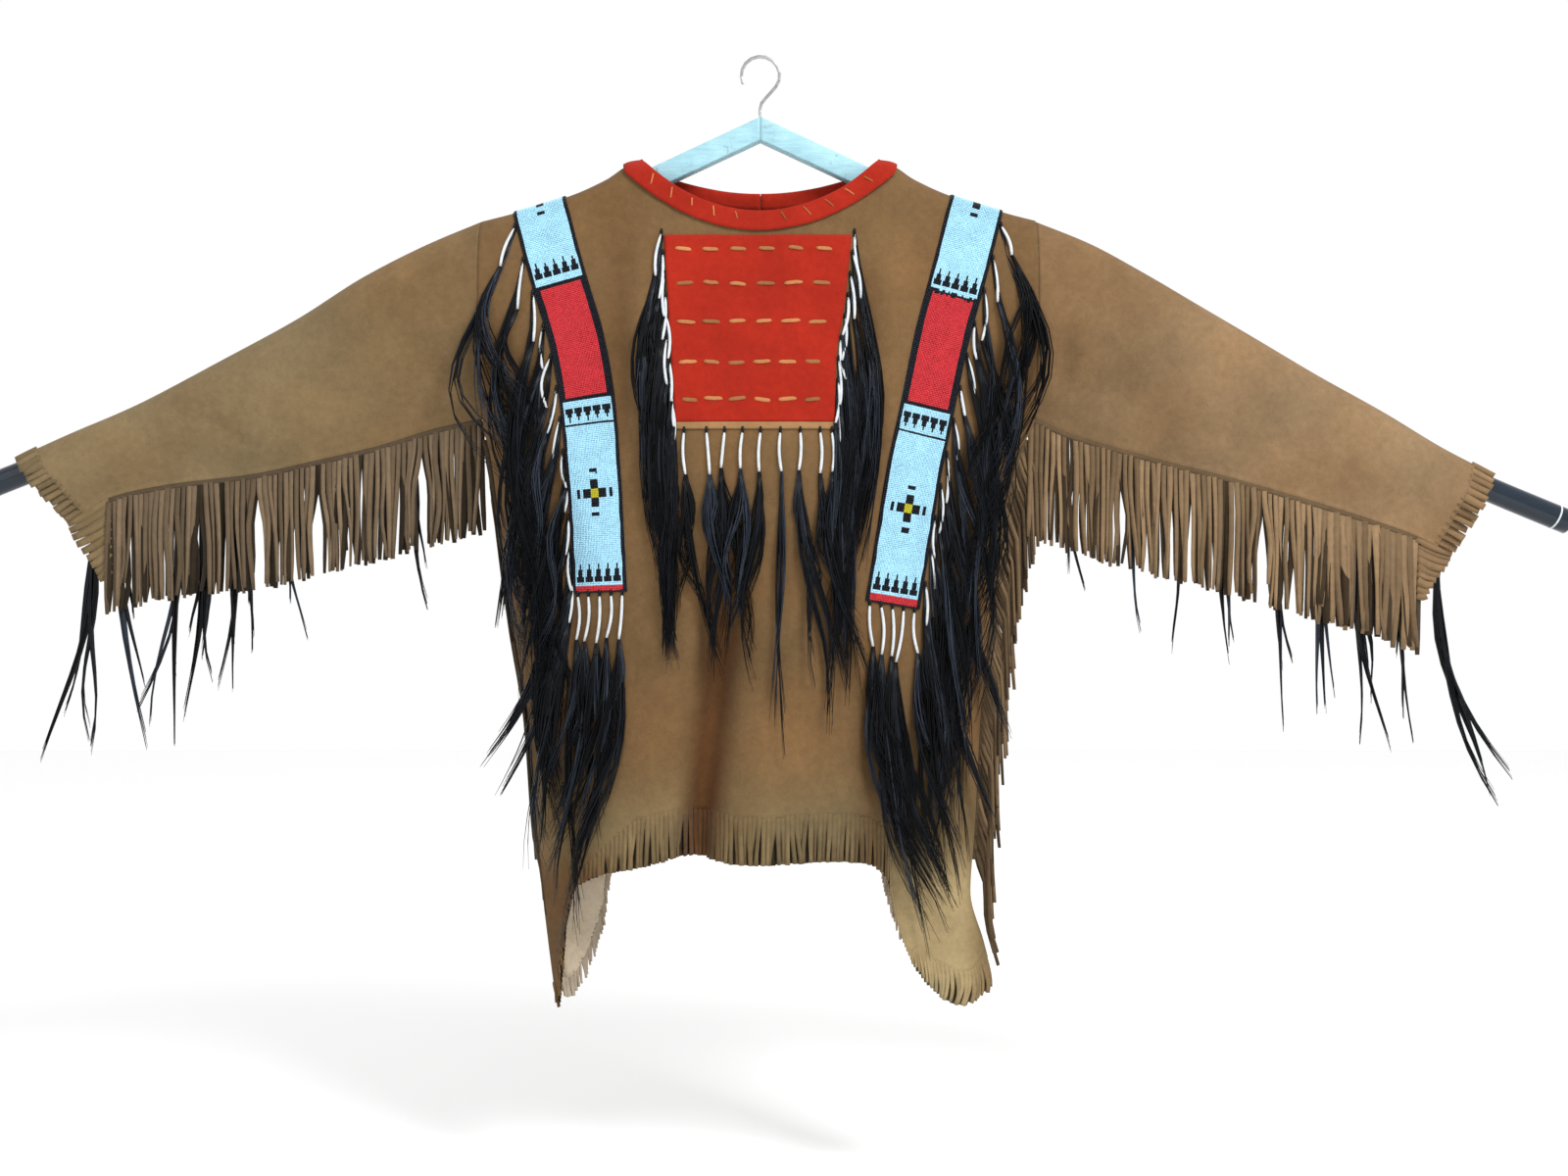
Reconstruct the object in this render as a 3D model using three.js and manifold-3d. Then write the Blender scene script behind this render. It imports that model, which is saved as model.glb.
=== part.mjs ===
// A fringed buckskin war shirt with beaded strips, a red bib and hair locks, hung on a painted
// board hanger with a bent rod through each sleeve. Lengths are millimetres and +Z is up.
// The front faces -Y, left and right are the viewer's, and the origin is the inside top of the
// hanger's hook, where the shirt is held.
import * as THREE from "three";
import { mergeVertices } from "three/addons/utils/BufferGeometryUtils.js";
import Module from "manifold-3d";

const wasm = await Module();
wasm.setup();

// ---------------------------------------------------------------- driving sizes
const HIDE = 2; // wall of the buckskin
const SEAM = 0.3; // gap between pieces at a seam
const LEFT = -1;
const RIGHT = 1;

// The shoulder's outline, from the middle of the neck to the armhole, the same on both sides.
const SHOULDER = [
  { x: 0, z: -112 },
  { x: 146, z: -122 },
  { x: 175, z: -139 },
  { x: 212, z: -156 },
  { x: 282, z: -178 },
  { x: 317, z: -187 },
];
const RIDGE_RADIUS = 20; // how round the cloth goes over the hanger
const CHEST_DROP = 300; // below the shoulder, where a panel reaches its full depth
const NECK_HALF = 138;
const NECK_ROUND = 2; // exponent of the neckline's curve

// The outline of the body's sides. The armhole is upright, from the shoulder to the armpit.
const SIDES = [
  { z: -1100, left: -230, right: 250 },
  { z: -1057, left: -236, right: 266 },
  { z: -1011, left: -242, right: 256 },
  { z: -951, left: -249, right: 240 },
  { z: -878, left: -255, right: 245 },
  { z: -759, left: -264, right: 251 },
  { z: -654, left: -281, right: 261 },
  { z: -552, left: -295, right: 272 },
  { z: -455, left: -308, right: 292 },
  { z: -414, left: -317, right: 313 },
  { z: -180, left: -317, right: 313 },
];
const ARM_DROP = 226; // height of the armhole
const ARM_DEPTH = 38; // half its depth, front to back
const WAIST_Z = -700; // where the sides begin to square off towards the hem
const SIDE_ROUND = 2.5; // exponent of the body's section, larger is squarer
const HEM_SQUARE = { [LEFT]: 6, [RIGHT]: 3.2 };
const HEM_Z = -960;

// How folds fade: the share of their length at each end, the height below the shoulder, and the
// exponent that keeps them off the side seams. A fold that ends this near the hem runs through it.
const FOLD = { fadeShare: 0.4, belowShoulder: 60, offSeams: 6, toHem: 80 };

// Each body panel: its depth, neckline, hem and soft folds. A hem row is one point of the cut edge,
// u running across the panel from -1 to 1. A fold's path runs from (x, z) to (endX, endZ), and its
// depth is negative where the cloth sinks.
const FRONT = {
  toward: -1,
  depth: 54,
  neckZ: -182,
  neckColumns: [-128, -113, -97, -82, -67, -53, -39, -24, -8, 14, 40, 66, 92, 112, 128],
  hem: [
    { u: -1, x: -231, z: -1086 },
    { u: -0.952, x: -226, z: -1066 },
    { u: -0.873, x: -217, z: -1018 },
    { u: -0.778, x: -211, z: -972 },
    { u: -0.667, x: -203, z: -943 },
    { u: -0.571, x: -184, z: -929 },
    { u: -0.44, x: -140, z: -917 },
    { u: -0.25, x: -80, z: -905 },
    { u: -0.06, x: -20, z: -913 },
    { u: 0.3, x: 85, z: -910 },
    { u: 0.44, x: 124, z: -915 },
    { u: 0.571, x: 148, z: -932 },
    { u: 0.667, x: 158, z: -962 },
    { u: 0.778, x: 168, z: -1005 },
    { u: 0.873, x: 190, z: -1050 },
    { u: 0.952, x: 236, z: -1078 },
    { u: 1, x: 266, z: -1057 },
  ],
  folds: [
    { x: -28, z: -540, endX: -74, endZ: -930, width: 22, depth: -27 },
    { x: -92, z: -600, endX: -128, endZ: -930, width: 34, depth: 9 },
    { x: 30, z: -560, endX: 4, endZ: -930, width: 38, depth: 9 },
    { x: -160, z: -165, endX: -152, endZ: -520, width: 15, depth: -7 },
    { x: -132, z: -190, endX: -134, endZ: -620, width: 17, depth: 4 },
    { x: 122, z: -170, endX: 116, endZ: -500, width: 17, depth: -7 },
    { x: 152, z: -180, endX: 140, endZ: -560, width: 18, depth: 4 },
    { x: 130, z: -640, endX: 122, endZ: -960, width: 20, depth: -9 },
    { x: -232, z: -430, endX: -196, endZ: -760, width: 20, depth: -10 },
    { x: 232, z: -430, endX: 210, endZ: -800, width: 20, depth: -9 },
  ],
};
const BACK = {
  toward: 1,
  depth: 50,
  neckZ: -153,
  neckColumns: [-128, -112, -92, -70, -46, -22, 0, 22, 42, 64, 88, 110, 128],
  hem: [
    { u: -1, x: -236, z: -1058 },
    { u: -0.952, x: -222, z: -1076 },
    { u: -0.873, x: -196, z: -1042 },
    { u: -0.778, x: -178, z: -990 },
    { u: -0.667, x: -172, z: -946 },
    { u: -0.571, x: -160, z: -918 },
    { u: -0.44, x: -130, z: -900 },
    { u: 0, x: 0, z: -890 },
    { u: 0.44, x: 124, z: -900 },
    { u: 0.571, x: 143, z: -924 },
    { u: 0.667, x: 152, z: -958 },
    { u: 0.778, x: 164, z: -1004 },
    { u: 0.873, x: 186, z: -1046 },
    { u: 0.952, x: 228, z: -1070 },
    { u: 1, x: 264, z: -1048 },
  ],
  folds: [
    { x: 40, z: -480, endX: 62, endZ: -910, width: 26, depth: -20 },
    { x: -60, z: -560, endX: -84, endZ: -910, width: 24, depth: -15 },
    { x: -10, z: -520, endX: -14, endZ: -900, width: 34, depth: 8 },
    { x: -150, z: -170, endX: -142, endZ: -560, width: 13, depth: -7 },
    { x: 138, z: -170, endX: 132, endZ: -600, width: 14, depth: -8 },
    { x: 0, z: -190, endX: 6, endZ: -470, width: 30, depth: -5 },
    { x: -226, z: -440, endX: -190, endZ: -780, width: 20, depth: -10 },
    { x: 224, z: -430, endX: 196, endZ: -780, width: 20, depth: -10 },
  ],
};
const ARMHOLE = 315; // from the middle to the top of the armhole
// Where the panels' columns stand on the shoulder line, outwards from the neck.
const SHOULDER_COLUMNS = [NECK_HALF, 152, 168, 190, 216, 247, 281, ARMHOLE];
const PANEL_ROWS = 12; // below the rounded shoulder
const CURL_STEPS = 4; // rows round the shoulder

// The sleeves: a row for each section, its top on the fold and its bottom on the sewn seam.
const SLEEVES = {
  left: {
    side: LEFT,
    sections: [
      { at: 0, topX: -317, topZ: -187, seamX: -317, seamZ: -413, depth: 38 },
      { at: 1, topX: -377, topZ: -212, seamX: -366, seamZ: -423, depth: 36 },
      { at: 2, topX: -452, topZ: -250, seamX: -435, seamZ: -444, depth: 34 },
      { at: 3, topX: -526, topZ: -297, seamX: -503, seamZ: -460, depth: 32 },
      { at: 4, topX: -612, topZ: -344, seamX: -584, seamZ: -477, depth: 30 },
      { at: 5, topX: -715, topZ: -398, seamX: -669, seamZ: -487, depth: 27 },
      { at: 6, topX: -785, topZ: -428, seamX: -740, seamZ: -502, depth: 25 },
      { at: 7, topX: -847, topZ: -456, seamX: -791, seamZ: -534, depth: 26 },
    ],
    folds: [
      { x: -448, z: -300, endX: -500, endZ: -430, width: 20, depth: -7 },
      { x: -372, z: -330, endX: -352, endZ: -410, width: 14, depth: -8 },
      { x: -640, z: -400, endX: -560, endZ: -460, width: 16, depth: -4 },
    ],
    flap: { x: -764, length: 70, width: 30, lower: 6 },
    fringe: { from: -732, to: -338, drop: 134 },
    locks: [
      { x: -764, length: 262, sway: -38 },
      { x: -738, length: 238, sway: 30 },
      { x: -668, length: 262, sway: -14 },
      { x: -642, length: 270, sway: 6 },
      { x: -602, length: 196, sway: -8 },
      { x: -592, length: 188, sway: 10 },
      { x: -550, length: 200, sway: 24 },
      { x: -398, length: 172, sway: 8 },
    ],
  },
  right: {
    side: RIGHT,
    sections: [
      { at: 0, topX: 313, topZ: -187, seamX: 313, seamZ: -413, depth: 38 },
      { at: 1, topX: 375, topZ: -212, seamX: 352, seamZ: -430, depth: 36 },
      { at: 2, topX: 438, topZ: -246, seamX: 420, seamZ: -450, depth: 34 },
      { at: 3, topX: 501, topZ: -283, seamX: 475, seamZ: -465, depth: 32 },
      { at: 4, topX: 564, topZ: -320, seamX: 535, seamZ: -480, depth: 31 },
      { at: 5, topX: 633, topZ: -361, seamX: 609, seamZ: -501, depth: 29 },
      { at: 6, topX: 710, topZ: -404, seamX: 690, seamZ: -526, depth: 27 },
      { at: 7, topX: 778, topZ: -445, seamX: 744, seamZ: -545, depth: 25 },
      { at: 8, topX: 834, topZ: -474, seamX: 792, seamZ: -569, depth: 26 },
    ],
    folds: [
      { x: 430, z: -330, endX: 392, endZ: -420, width: 18, depth: -6 },
      { x: 560, z: -380, endX: 510, endZ: -450, width: 18, depth: -4 },
      { x: 350, z: -300, endX: 336, endZ: -400, width: 14, depth: -6 },
    ],
    flap: { x: 774, length: 50, width: 22, lower: 6 },
    fringe: { from: 322, to: 752, drop: 136 },
    locks: [
      { x: 352, length: 158, sway: 6 },
      { x: 424, length: 168, sway: 8 },
      { x: 480, length: 176, sway: 4 },
      { x: 528, length: 218, sway: 16 },
      { x: 592, length: 236, sway: 12 },
      { x: 640, length: 216, sway: 10 },
      { x: 684, length: 262, sway: 22 },
      { x: 730, length: 196, sway: 12 },
      { x: 776, length: 262, sway: 64 },
    ],
  },
};
const SLEEVE_SECTIONS = 11;
const SLEEVE_SIDES = 14;
const SEAM_ALLOWANCE = 10; // how high the sleeve's two layers are sewn together
const TEARDROP_PEAK = 2.6; // makes the section's greatest half depth its depth

// The collar is one red strip folded over the neck's edge, its ends meeting behind. It narrows
// inside, and stands off more, from narrowX to the neck's corner, where it turns in three steps.
const COLLAR = {
  outside: 21,
  inside: 17,
  insideEnd: 4,
  wall: 1.7,
  clear: 1.2,
  clearEnd: 2.4,
  backGap: 0.6,
  narrowX: 92,
  narrowOver: 36,
  cornerTurns: [0, 0.33, 0.66],
};

// The red bib, tapering downwards, and the edge of buckskin that shows below it.
const BIB = { topZ: -208, bottomZ: -420, wall: 1.6, edge: 8 };
const BIB_LEFT = [
  { z: BIB.bottomZ, x: -94 },
  { z: BIB.topZ, x: -108 },
];
const BIB_RIGHT = [
  { z: BIB.bottomZ, x: 83 },
  { z: -350, x: 85 },
  { z: -290, x: 94 },
  { z: BIB.topZ, x: 103 },
];

// The beaded strips: down is the distance below the shoulder, x the strip's middle there.
const STRIPS = {
  left: {
    side: LEFT,
    path: [
      { down: 0, x: -251 },
      { down: 95, x: -224 },
      { down: 152, x: -207 },
      { down: 222, x: -194 },
      { down: 292, x: -187 },
      { down: 370, x: -182 },
      { down: 440, x: -179 },
    ],
  },
  right: {
    side: RIGHT,
    path: [
      { down: 0, x: 246 },
      { down: 97, x: 220 },
      { down: 152, x: 205 },
      { down: 235, x: 187 },
      { down: 313, x: 171 },
      { down: 382, x: 160 },
      { down: 456, x: 148 },
    ],
  },
};
const STRIP = { width: 61, wall: 2.4, rows: 9 };
// How a strip leaves the shoulder: its slope is taken over these steps, it turns square to its own
// line over `turnOver`, and it follows the shoulder's slope until `settleOver`.
const STRIP_TOP = { step: 8, levelHalf: 20, turnOver: 90, settleOver: 60 };

// Hair locks: a cord wrapped in white at the root, then a tail of hair.
const LOCK = { wrap: 44, wrapRadius: 2, hairRadius: 2.8, tip: 0.8, length: 262, standOff: 0.1 };
const LOCK_BACKING = { width: 3, wall: 1.4, gap: 1, rootShare: 0.8 };
const STRIP_LOCKS = {
  pitch: 37,
  first: 22,
  ends: 5,
  endSpread: 0.84,
  leanTop: 0.03,
  leanEnd: 0.14,
  varied: 0.1,
  endLonger: 1.06,
  endVaried: 0.08,
};
const BIB_LOCKS = {
  left: 8,
  right: 7,
  bottom: 10,
  lean: 0.17,
  belowTop: 2,
  aboveBottom: 4,
  startShare: 0.3,
  longer: 1.1,
  varied: 0.1,
  endLonger: 1.08,
  endVaried: 0.12,
};
const SLEEVE_LOCKS = { behind: 9, below: 8, margin: 4, rootRadius: 2, bellyShare: 0.6 };

// Suede fringe.
const FRINGE = { width: 6, wall: 1.6, backing: 6, sleeveCount: 39, sideCount: 14 };
const SLEEVE_FRINGE = { topGap: 2, varied: 0.05, aside: 1.4, offPlane: 4 };
const SIDE_FRINGE = {
  topZ: -436,
  bottomZ: -915,
  firstBelow: 4,
  lastAbove: 6,
  reach: 13,
  drop: 128,
  varied: 0.08,
  clear: 9,
  offPlane: 2,
};
// The uncut flap at the cuff's end of the fringe: its width, as a share, at three shares of its length.
const FLAP = { rootWidth: 0.7, fullAt: 0.3, endWidth: 0.62, inwards: 4 };

// The hanger: two boards mitred at the top, a wire hook, and a rod under each board's end.
const BOARD = { apexZ: -68.5, slope: 0.466, end: 202, height: 27, depth: 18, round: 3 };
const HOOK = { radius: 22, wire: 4, stem: 14, fromDegrees: -52, toDegrees: 205, sides: 6, steps: 16 };
const ROD = { radius: 14, sides: 8, steps: 16 };
const ROD_PATHS = {
  left: [
    { x: -208, z: -177 },
    { x: -282, z: -199 },
    { x: -318, z: -209 },
    { x: -380, z: -236 },
    { x: -455, z: -274 },
    { x: -530, z: -322 },
    { x: -612, z: -366 },
    { x: -715, z: -420 },
    { x: -800, z: -457 },
    { x: -860, z: -481 },
    { x: -925, z: -507 },
  ],
  right: [
    { x: 208, z: -177 },
    { x: 282, z: -199 },
    { x: 314, z: -209 },
    { x: 375, z: -235 },
    { x: 438, z: -269 },
    { x: 564, z: -342 },
    { x: 700, z: -421 },
    { x: 780, z: -468 },
    { x: 834, z: -493 },
    { x: 923, z: -530 },
  ],
};

const THROUGH = 400; // depth of a cut that goes all through the shirt

const COLOURS = {
  hide: [0x9a7748, 0.95],
  hideDark: [0x7d5d38, 0.95],
  red: [0xc33a27, 0.9],
  beads: [0xcfe9f2, 0.4],
  hair: [0x14161a, 0.5],
  paint: [0xdcecf2, 0.55],
  rod: [0x2b3844, 0.35],
  wire: [0x9aa0a4, 0.35],
};

// ---------------------------------------------------------------- small helpers
const clamp = (value, low, high) => Math.min(Math.max(value, low), high);
const mix = (a, b, t) => a + (b - a) * t;
const sideOf = (x) => (x < 0 ? LEFT : RIGHT);

function smooth(value) {
  const t = clamp(value, 0, 1);
  return t * t * (3 - 2 * t);
}

// A repeatable scatter from -1 to 1 for the nth strand.
function scatter(n, salt = 0) {
  const wave = Math.sin(n * 12.9898 + salt * 78.233) * 43758.5453;
  return 2 * (wave - Math.floor(wave)) - 1;
}

// A smooth curve through a table's rows, which never overshoots: column `of` against column `by`.
function curve(rows, by, of) {
  const x = rows.map((row) => row[by]);
  const y = rows.map((row) => row[of]);
  const slope = y.slice(1).map((value, i) => (value - y[i]) / (x[i + 1] - x[i]));
  const tangent = y.map((_, i) => {
    const before = slope[Math.max(i - 1, 0)];
    const after = slope[Math.min(i, slope.length - 1)];
    return before * after <= 0 ? 0 : (2 * before * after) / (before + after);
  });
  return (value) => {
    const v = clamp(value, x[0], x[x.length - 1]);
    let i = 0;
    while (i < slope.length - 1 && v > x[i + 1]) i += 1;
    const step = x[i + 1] - x[i];
    const t = (v - x[i]) / step;
    const rise = t * t * (3 - 2 * t);
    const start = t * (1 - t) * (1 - t) * step * tangent[i];
    const end = t * t * (t - 1) * step * tangent[i + 1];
    return mix(y[i], y[i + 1], rise) + start + end;
  };
}

// ---------------------------------------------------------------- the garment's surfaces
const ridgeOf = curve(SHOULDER, "x", "z");
const ridge = (x) => ridgeOf(Math.abs(x)) - HIDE / 2;
const leftSide = curve(SIDES, "z", "left");
const rightSide = curve(SIDES, "z", "right");
const sideAt = (side, z) => (side === LEFT ? leftSide(z) : rightSide(z)) - (side * SEAM) / 2;

// The section of a sleeve: half its depth, as a share, at a height from 0 on the fold to 1 at the seam.
const teardrop = (h) => TEARDROP_PEAK * Math.sqrt(clamp(h, 0, 1)) * (1 - clamp(h, 0, 1)) ** 1.1;

function foldDepth(folds, x, z) {
  return folds.reduce((sum, fold) => {
    const t = (fold.z - z) / (fold.z - fold.endZ);
    const away = (x - mix(fold.x, fold.endX, t)) / fold.width;
    const endFade = fold.endZ < HEM_Z + FOLD.toHem ? 1 : smooth((1 - t) / FOLD.fadeShare);
    const longFade = smooth(t / FOLD.fadeShare) * endFade;
    return sum + fold.depth * longFade * Math.exp(-away * away);
  }, 0);
}

// How far the middle of a panel's wall stands from the shirt's own middle plane.
function bodyDepth(face, x, z) {
  const side = sideOf(x);
  const across = Math.min(Math.abs(x / sideAt(side, z)), 1);
  const below = Math.max(ridge(x) - z, 0);
  const squareness = mix(SIDE_ROUND, HEM_SQUARE[side], smooth((WAIST_Z - z) / (WAIST_Z - HEM_Z)));
  const edgeShare = across ** squareness;
  const curl = Math.sqrt(RIDGE_RADIUS ** 2 - Math.max(RIDGE_RADIUS - below, 0) ** 2);
  const chest = curl + (face.depth - RIDGE_RADIUS) * smooth(below / CHEST_DROP);
  const h = below / ARM_DROP;
  const arm = Math.max((ARM_DEPTH - HIDE / 2) * teardrop(h), h > 0.5 ? HIDE / 2 : 0);
  const foldShare = (1 - across ** FOLD.offSeams) * smooth(below / FOLD.belowShoulder);
  return mix(chest, arm, edgeShare) + foldDepth(face.folds, x, z) * foldShare;
}

const bodyPoint = (face, x, z) =>
  new THREE.Vector3(x, face.toward * (bodyDepth(face, x, z) + SEAM / 2), z);

// The direction out of a panel at a point.
function bodyNormal(face, x, z) {
  const reach = 2;
  const topZ = Math.min(z + reach, ridge(x));
  const along = bodyPoint(face, x + reach, topZ - reach).sub(bodyPoint(face, x - reach, topZ - reach));
  const down = bodyPoint(face, x, z - reach).sub(bodyPoint(face, x, topZ));
  return along.cross(down).multiplyScalar(face.toward).normalize();
}

function neckline(face, x) {
  const share = Math.min(Math.abs(x) / NECK_HALF, 1) ** NECK_ROUND;
  return mix(face.neckZ, ridge(NECK_HALF), share);
}

// ---------------------------------------------------------------- solids
function dress(name, geometry, [colour, roughness]) {
  geometry.computeVertexNormals();
  const material = new THREE.MeshStandardMaterial({ color: colour, roughness, metalness: 0 });
  const mesh = new THREE.Mesh(geometry, material);
  mesh.name = name;
  return mesh;
}

function shapeMesh(name, { positions, triangles }, look) {
  const geometry = new THREE.BufferGeometry();
  const points = positions.flatMap((p) => p.toArray());
  geometry.setAttribute("position", new THREE.Float32BufferAttribute(points, 3));
  geometry.setIndex(triangles.flat());
  return dress(name, geometry, look);
}

// The same geometry with only its positions, each shared by the faces round it.
function merged(geometry) {
  geometry.deleteAttribute("normal");
  geometry.deleteAttribute("uv");
  return mergeVertices(geometry, 1e-4);
}

const shapeSolid = ({ positions, triangles }) => new wasm.Manifold(new wasm.Mesh({
  numProp: 3,
  vertProperties: new Float32Array(positions.flatMap((p) => p.toArray())),
  triVerts: new Uint32Array(triangles.flat()),
}));

function solidMesh(name, solid, look) {
  const made = solid.getMesh();
  const geometry = new THREE.BufferGeometry();
  const points = new Float32Array(made.numVert * 3);
  for (let i = 0; i < made.numVert; i += 1) {
    points.set(made.vertProperties.subarray(i * made.numProp, i * made.numProp + 3), i * 3);
  }
  geometry.setAttribute("position", new THREE.BufferAttribute(points, 3));
  geometry.setIndex(new THREE.BufferAttribute(made.triVerts, 1));
  return dress(name, geometry, look);
}

// Turns every triangle round if the closed surface they make is inside out.
function facingOut(positions, triangles) {
  const volume = triangles.reduce(
    (sum, [a, b, c]) => sum + positions[a].dot(positions[b].clone().cross(positions[c])), 0);
  return { positions, triangles: volume < 0 ? triangles.map(([a, b, c]) => [a, c, b]) : triangles };
}

// A closed wall between two grids of points of the same size, outer and inner, as rows of columns.
// A wrapped grid's last column joins its first. The rows before `turned` run the other way up.
function wall(outer, inner, { wrapped = false, turned = 0 } = {}) {
  const rows = outer.length;
  const columns = outer[0].length;
  const id = (layer, r, c) => layer * rows * columns + r * columns + (c % columns);
  const quads = [];
  const last = wrapped ? columns : columns - 1;
  for (let r = 0; r < rows - 1; r += 1) {
    for (let c = 0; c < last; c += 1) {
      const corners = (layer) =>
        [id(layer, r, c), id(layer, r, c + 1), id(layer, r + 1, c + 1), id(layer, r + 1, c)];
      const turn = ([p, q, s, t]) => (r < turned ? [q, s, t, p] : [p, q, s, t]);
      quads.push(turn(corners(0)));
      quads.push(turn(corners(1)).reverse());
    }
  }
  for (let c = 0; c < last; c += 1) {
    quads.push([id(1, 0, c), id(1, 0, c + 1), id(0, 0, c + 1), id(0, 0, c)]);
    quads.push([id(0, rows - 1, c), id(0, rows - 1, c + 1), id(1, rows - 1, c + 1), id(1, rows - 1, c)]);
  }
  for (let r = 0; r < rows - 1 && !wrapped; r += 1) {
    quads.push([id(0, r, 0), id(0, r + 1, 0), id(1, r + 1, 0), id(1, r, 0)]);
    quads.push([id(1, r, last), id(1, r + 1, last), id(0, r + 1, last), id(0, r, last)]);
  }
  const inLayer = rows * columns;
  const triangles = quads.flatMap(([a, b, c, d]) =>
    (a >= inLayer && b >= inLayer && c >= inLayer ? [[a, d, b], [b, d, c]] : [[a, c, b], [a, d, c]]));
  return facingOut([...outer.flat(), ...inner.flat()], triangles);
}

// A strand along a path of stops, each with a point, half a width and half a thickness. It has four
// sides, or three when it is round. Its thickness lies towards `flat`.
const FLAT_SECTION = [[1, 1], [-1, 1], [-1, -1], [1, -1]];
const ROUND_SECTION = [[1.15, 0.75], [-1.15, 0.75], [0, -1.25]];

function strand(stops, section = FLAT_SECTION) {
  const flat = new THREE.Vector3(0, 1, 0);
  const sides = section.length;
  const positions = stops.flatMap(({ point, width, thick }, i) => {
    const before = stops[Math.max(i - 1, 0)].point;
    const after = stops[Math.min(i + 1, stops.length - 1)].point;
    const along = after.clone().sub(before).normalize();
    const wide = along.clone().cross(flat).normalize();
    const deep = wide.clone().cross(along).normalize();
    return section.map(([a, b]) =>
      point.clone().addScaledVector(wide, a * width).addScaledVector(deep, b * thick));
  });
  const triangles = [];
  for (let i = 0; i < stops.length - 1; i += 1) {
    for (let k = 0; k < sides; k += 1) {
      const [a, b] = [i * sides + k, i * sides + ((k + 1) % sides)];
      triangles.push([a, b, b + sides], [a, b + sides, a + sides]);
    }
  }
  const end = (stops.length - 1) * sides;
  for (let k = 1; k < sides - 1; k += 1) {
    triangles.push([0, k + 1, k], [end, end + k, end + k + 1]);
  }
  return shapeSolid(facingOut(positions, triangles));
}

// Strands joined at their roots to the backing, as one solid.
const joined = (name, pieces, look) => solidMesh(name, wasm.Manifold.union(pieces), look);

// ---------------------------------------------------------------- body panels
const panelColumns = (face) =>
  [...SHOULDER_COLUMNS.map((x) => -x).reverse(), ...face.neckColumns, ...SHOULDER_COLUMNS];

// A panel's grid of (x, z) places, rows from the shoulder to the hem.
function panelGrid(face) {
  const hemX = curve(face.hem, "u", "x");
  const hemZ = curve(face.hem, "u", "z");
  const line = (u) => {
    const side = sideOf(u);
    const topX = u * Math.abs(sideAt(side, SIDES[SIDES.length - 1].z));
    const onShoulder = Math.abs(u) * ARMHOLE > NECK_HALF - 1;
    const topZ = onShoulder ? ridge(topX) : neckline(face, topX);
    return { side, topX, topZ, hemX: hemX(u), hemZ: hemZ(u) };
  };
  const border = { [LEFT]: line(-1), [RIGHT]: line(1) };
  return Array.from({ length: CURL_STEPS + PANEL_ROWS + 1 }, (_, r) =>
    panelColumns(face).map((column) => {
      const u = column / ARMHOLE;
      const here = line(u);
      const curl = RIDGE_RADIUS * (1 - Math.cos(((Math.min(r / CURL_STEPS, 1)) * Math.PI) / 2));
      const hang = Math.max(r - CURL_STEPS, 0) / PANEL_ROWS;
      const z = mix(here.topZ - curl, here.hemZ, hang);
      const share = (here.topZ - z) / (here.topZ - here.hemZ);
      const edge = border[here.side];
      const away = sideAt(here.side, z) - mix(edge.topX, edge.hemX, share);
      return { x: mix(here.topX, here.hemX, share) + Math.abs(u) ** 3 * away, z, u };
    }));
}

const panelGrids = new Map([FRONT, BACK].map((face) => [face, panelGrid(face)]));

// A panel's grid of points, moved out from the middle of its wall by the given distance.
function panelLayer(face, distance) {
  return panelGrids.get(face).map((row, r) => row.map(({ x, z, u }) => {
    const middle = bodyPoint(face, x, z);
    const out = bodyNormal(face, x, z);
    if (Math.abs(u) === 1) out.setX(0);
    if (Math.abs(u) === 1 && ridge(x) - z > ARM_DROP * 0.9) out.setZ(0);
    if (r === 0 && Math.abs(u) * ARMHOLE > NECK_HALF - 1) out.set(0, 0, 1);
    const point = middle.addScaledVector(out.normalize(), distance);
    const clear = (face.toward * SEAM) / 2;
    return point.setY(face.toward < 0 ? Math.min(point.y, clear) : Math.max(point.y, clear));
  }));
}

// How far out the two panels' edges reach at a height.
function panelSideX(side, z) {
  const reaches = [FRONT, BACK].map((face) => {
    const rows = panelGrids.get(face).map((row) => (side === LEFT ? row[0] : row[row.length - 1]));
    const i = clamp(rows.findIndex((row) => row.z < z), 1, rows.length - 1);
    return side * mix(rows[i - 1].x, rows[i].x, (rows[i - 1].z - z) / (rows[i - 1].z - rows[i].z));
  });
  return side * Math.max(...reaches);
}

const bodyPanel = (name, face) =>
  shapeMesh(name, wall(panelLayer(face, HIDE / 2), panelLayer(face, -HIDE / 2)), COLOURS.hide);

// How far from the shirt's middle plane a panel's layer stands at (x, z), or undefined off its edge.
function layerY(layer, x, z) {
  const inside = (a, b, c) => {
    const area = (b.x - a.x) * (c.z - a.z) - (c.x - a.x) * (b.z - a.z);
    const s = ((x - a.x) * (c.z - a.z) - (c.x - a.x) * (z - a.z)) / area;
    const t = ((b.x - a.x) * (z - a.z) - (x - a.x) * (b.z - a.z)) / area;
    const within = s >= -1e-6 && t >= -1e-6 && s + t <= 1 + 1e-6;
    return within ? a.y + s * (b.y - a.y) + t * (c.y - a.y) : undefined;
  };
  for (let r = 0; r < layer.length - 1; r += 1) {
    for (let c = 0; c < layer[r].length - 1; c += 1) {
      const [a, b, d, e] = [layer[r][c], layer[r][c + 1], layer[r + 1][c + 1], layer[r + 1][c]];
      const y = inside(a, b, d) ?? inside(a, d, e);
      if (y !== undefined) return y;
    }
  }
  return undefined;
}

const layers = new Map();
function panelY(face, distance, x, z) {
  const key = `${face.toward} ${distance}`;
  if (!layers.has(key)) layers.set(key, panelLayer(face, distance));
  return layerY(layers.get(key), x, z);
}

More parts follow.
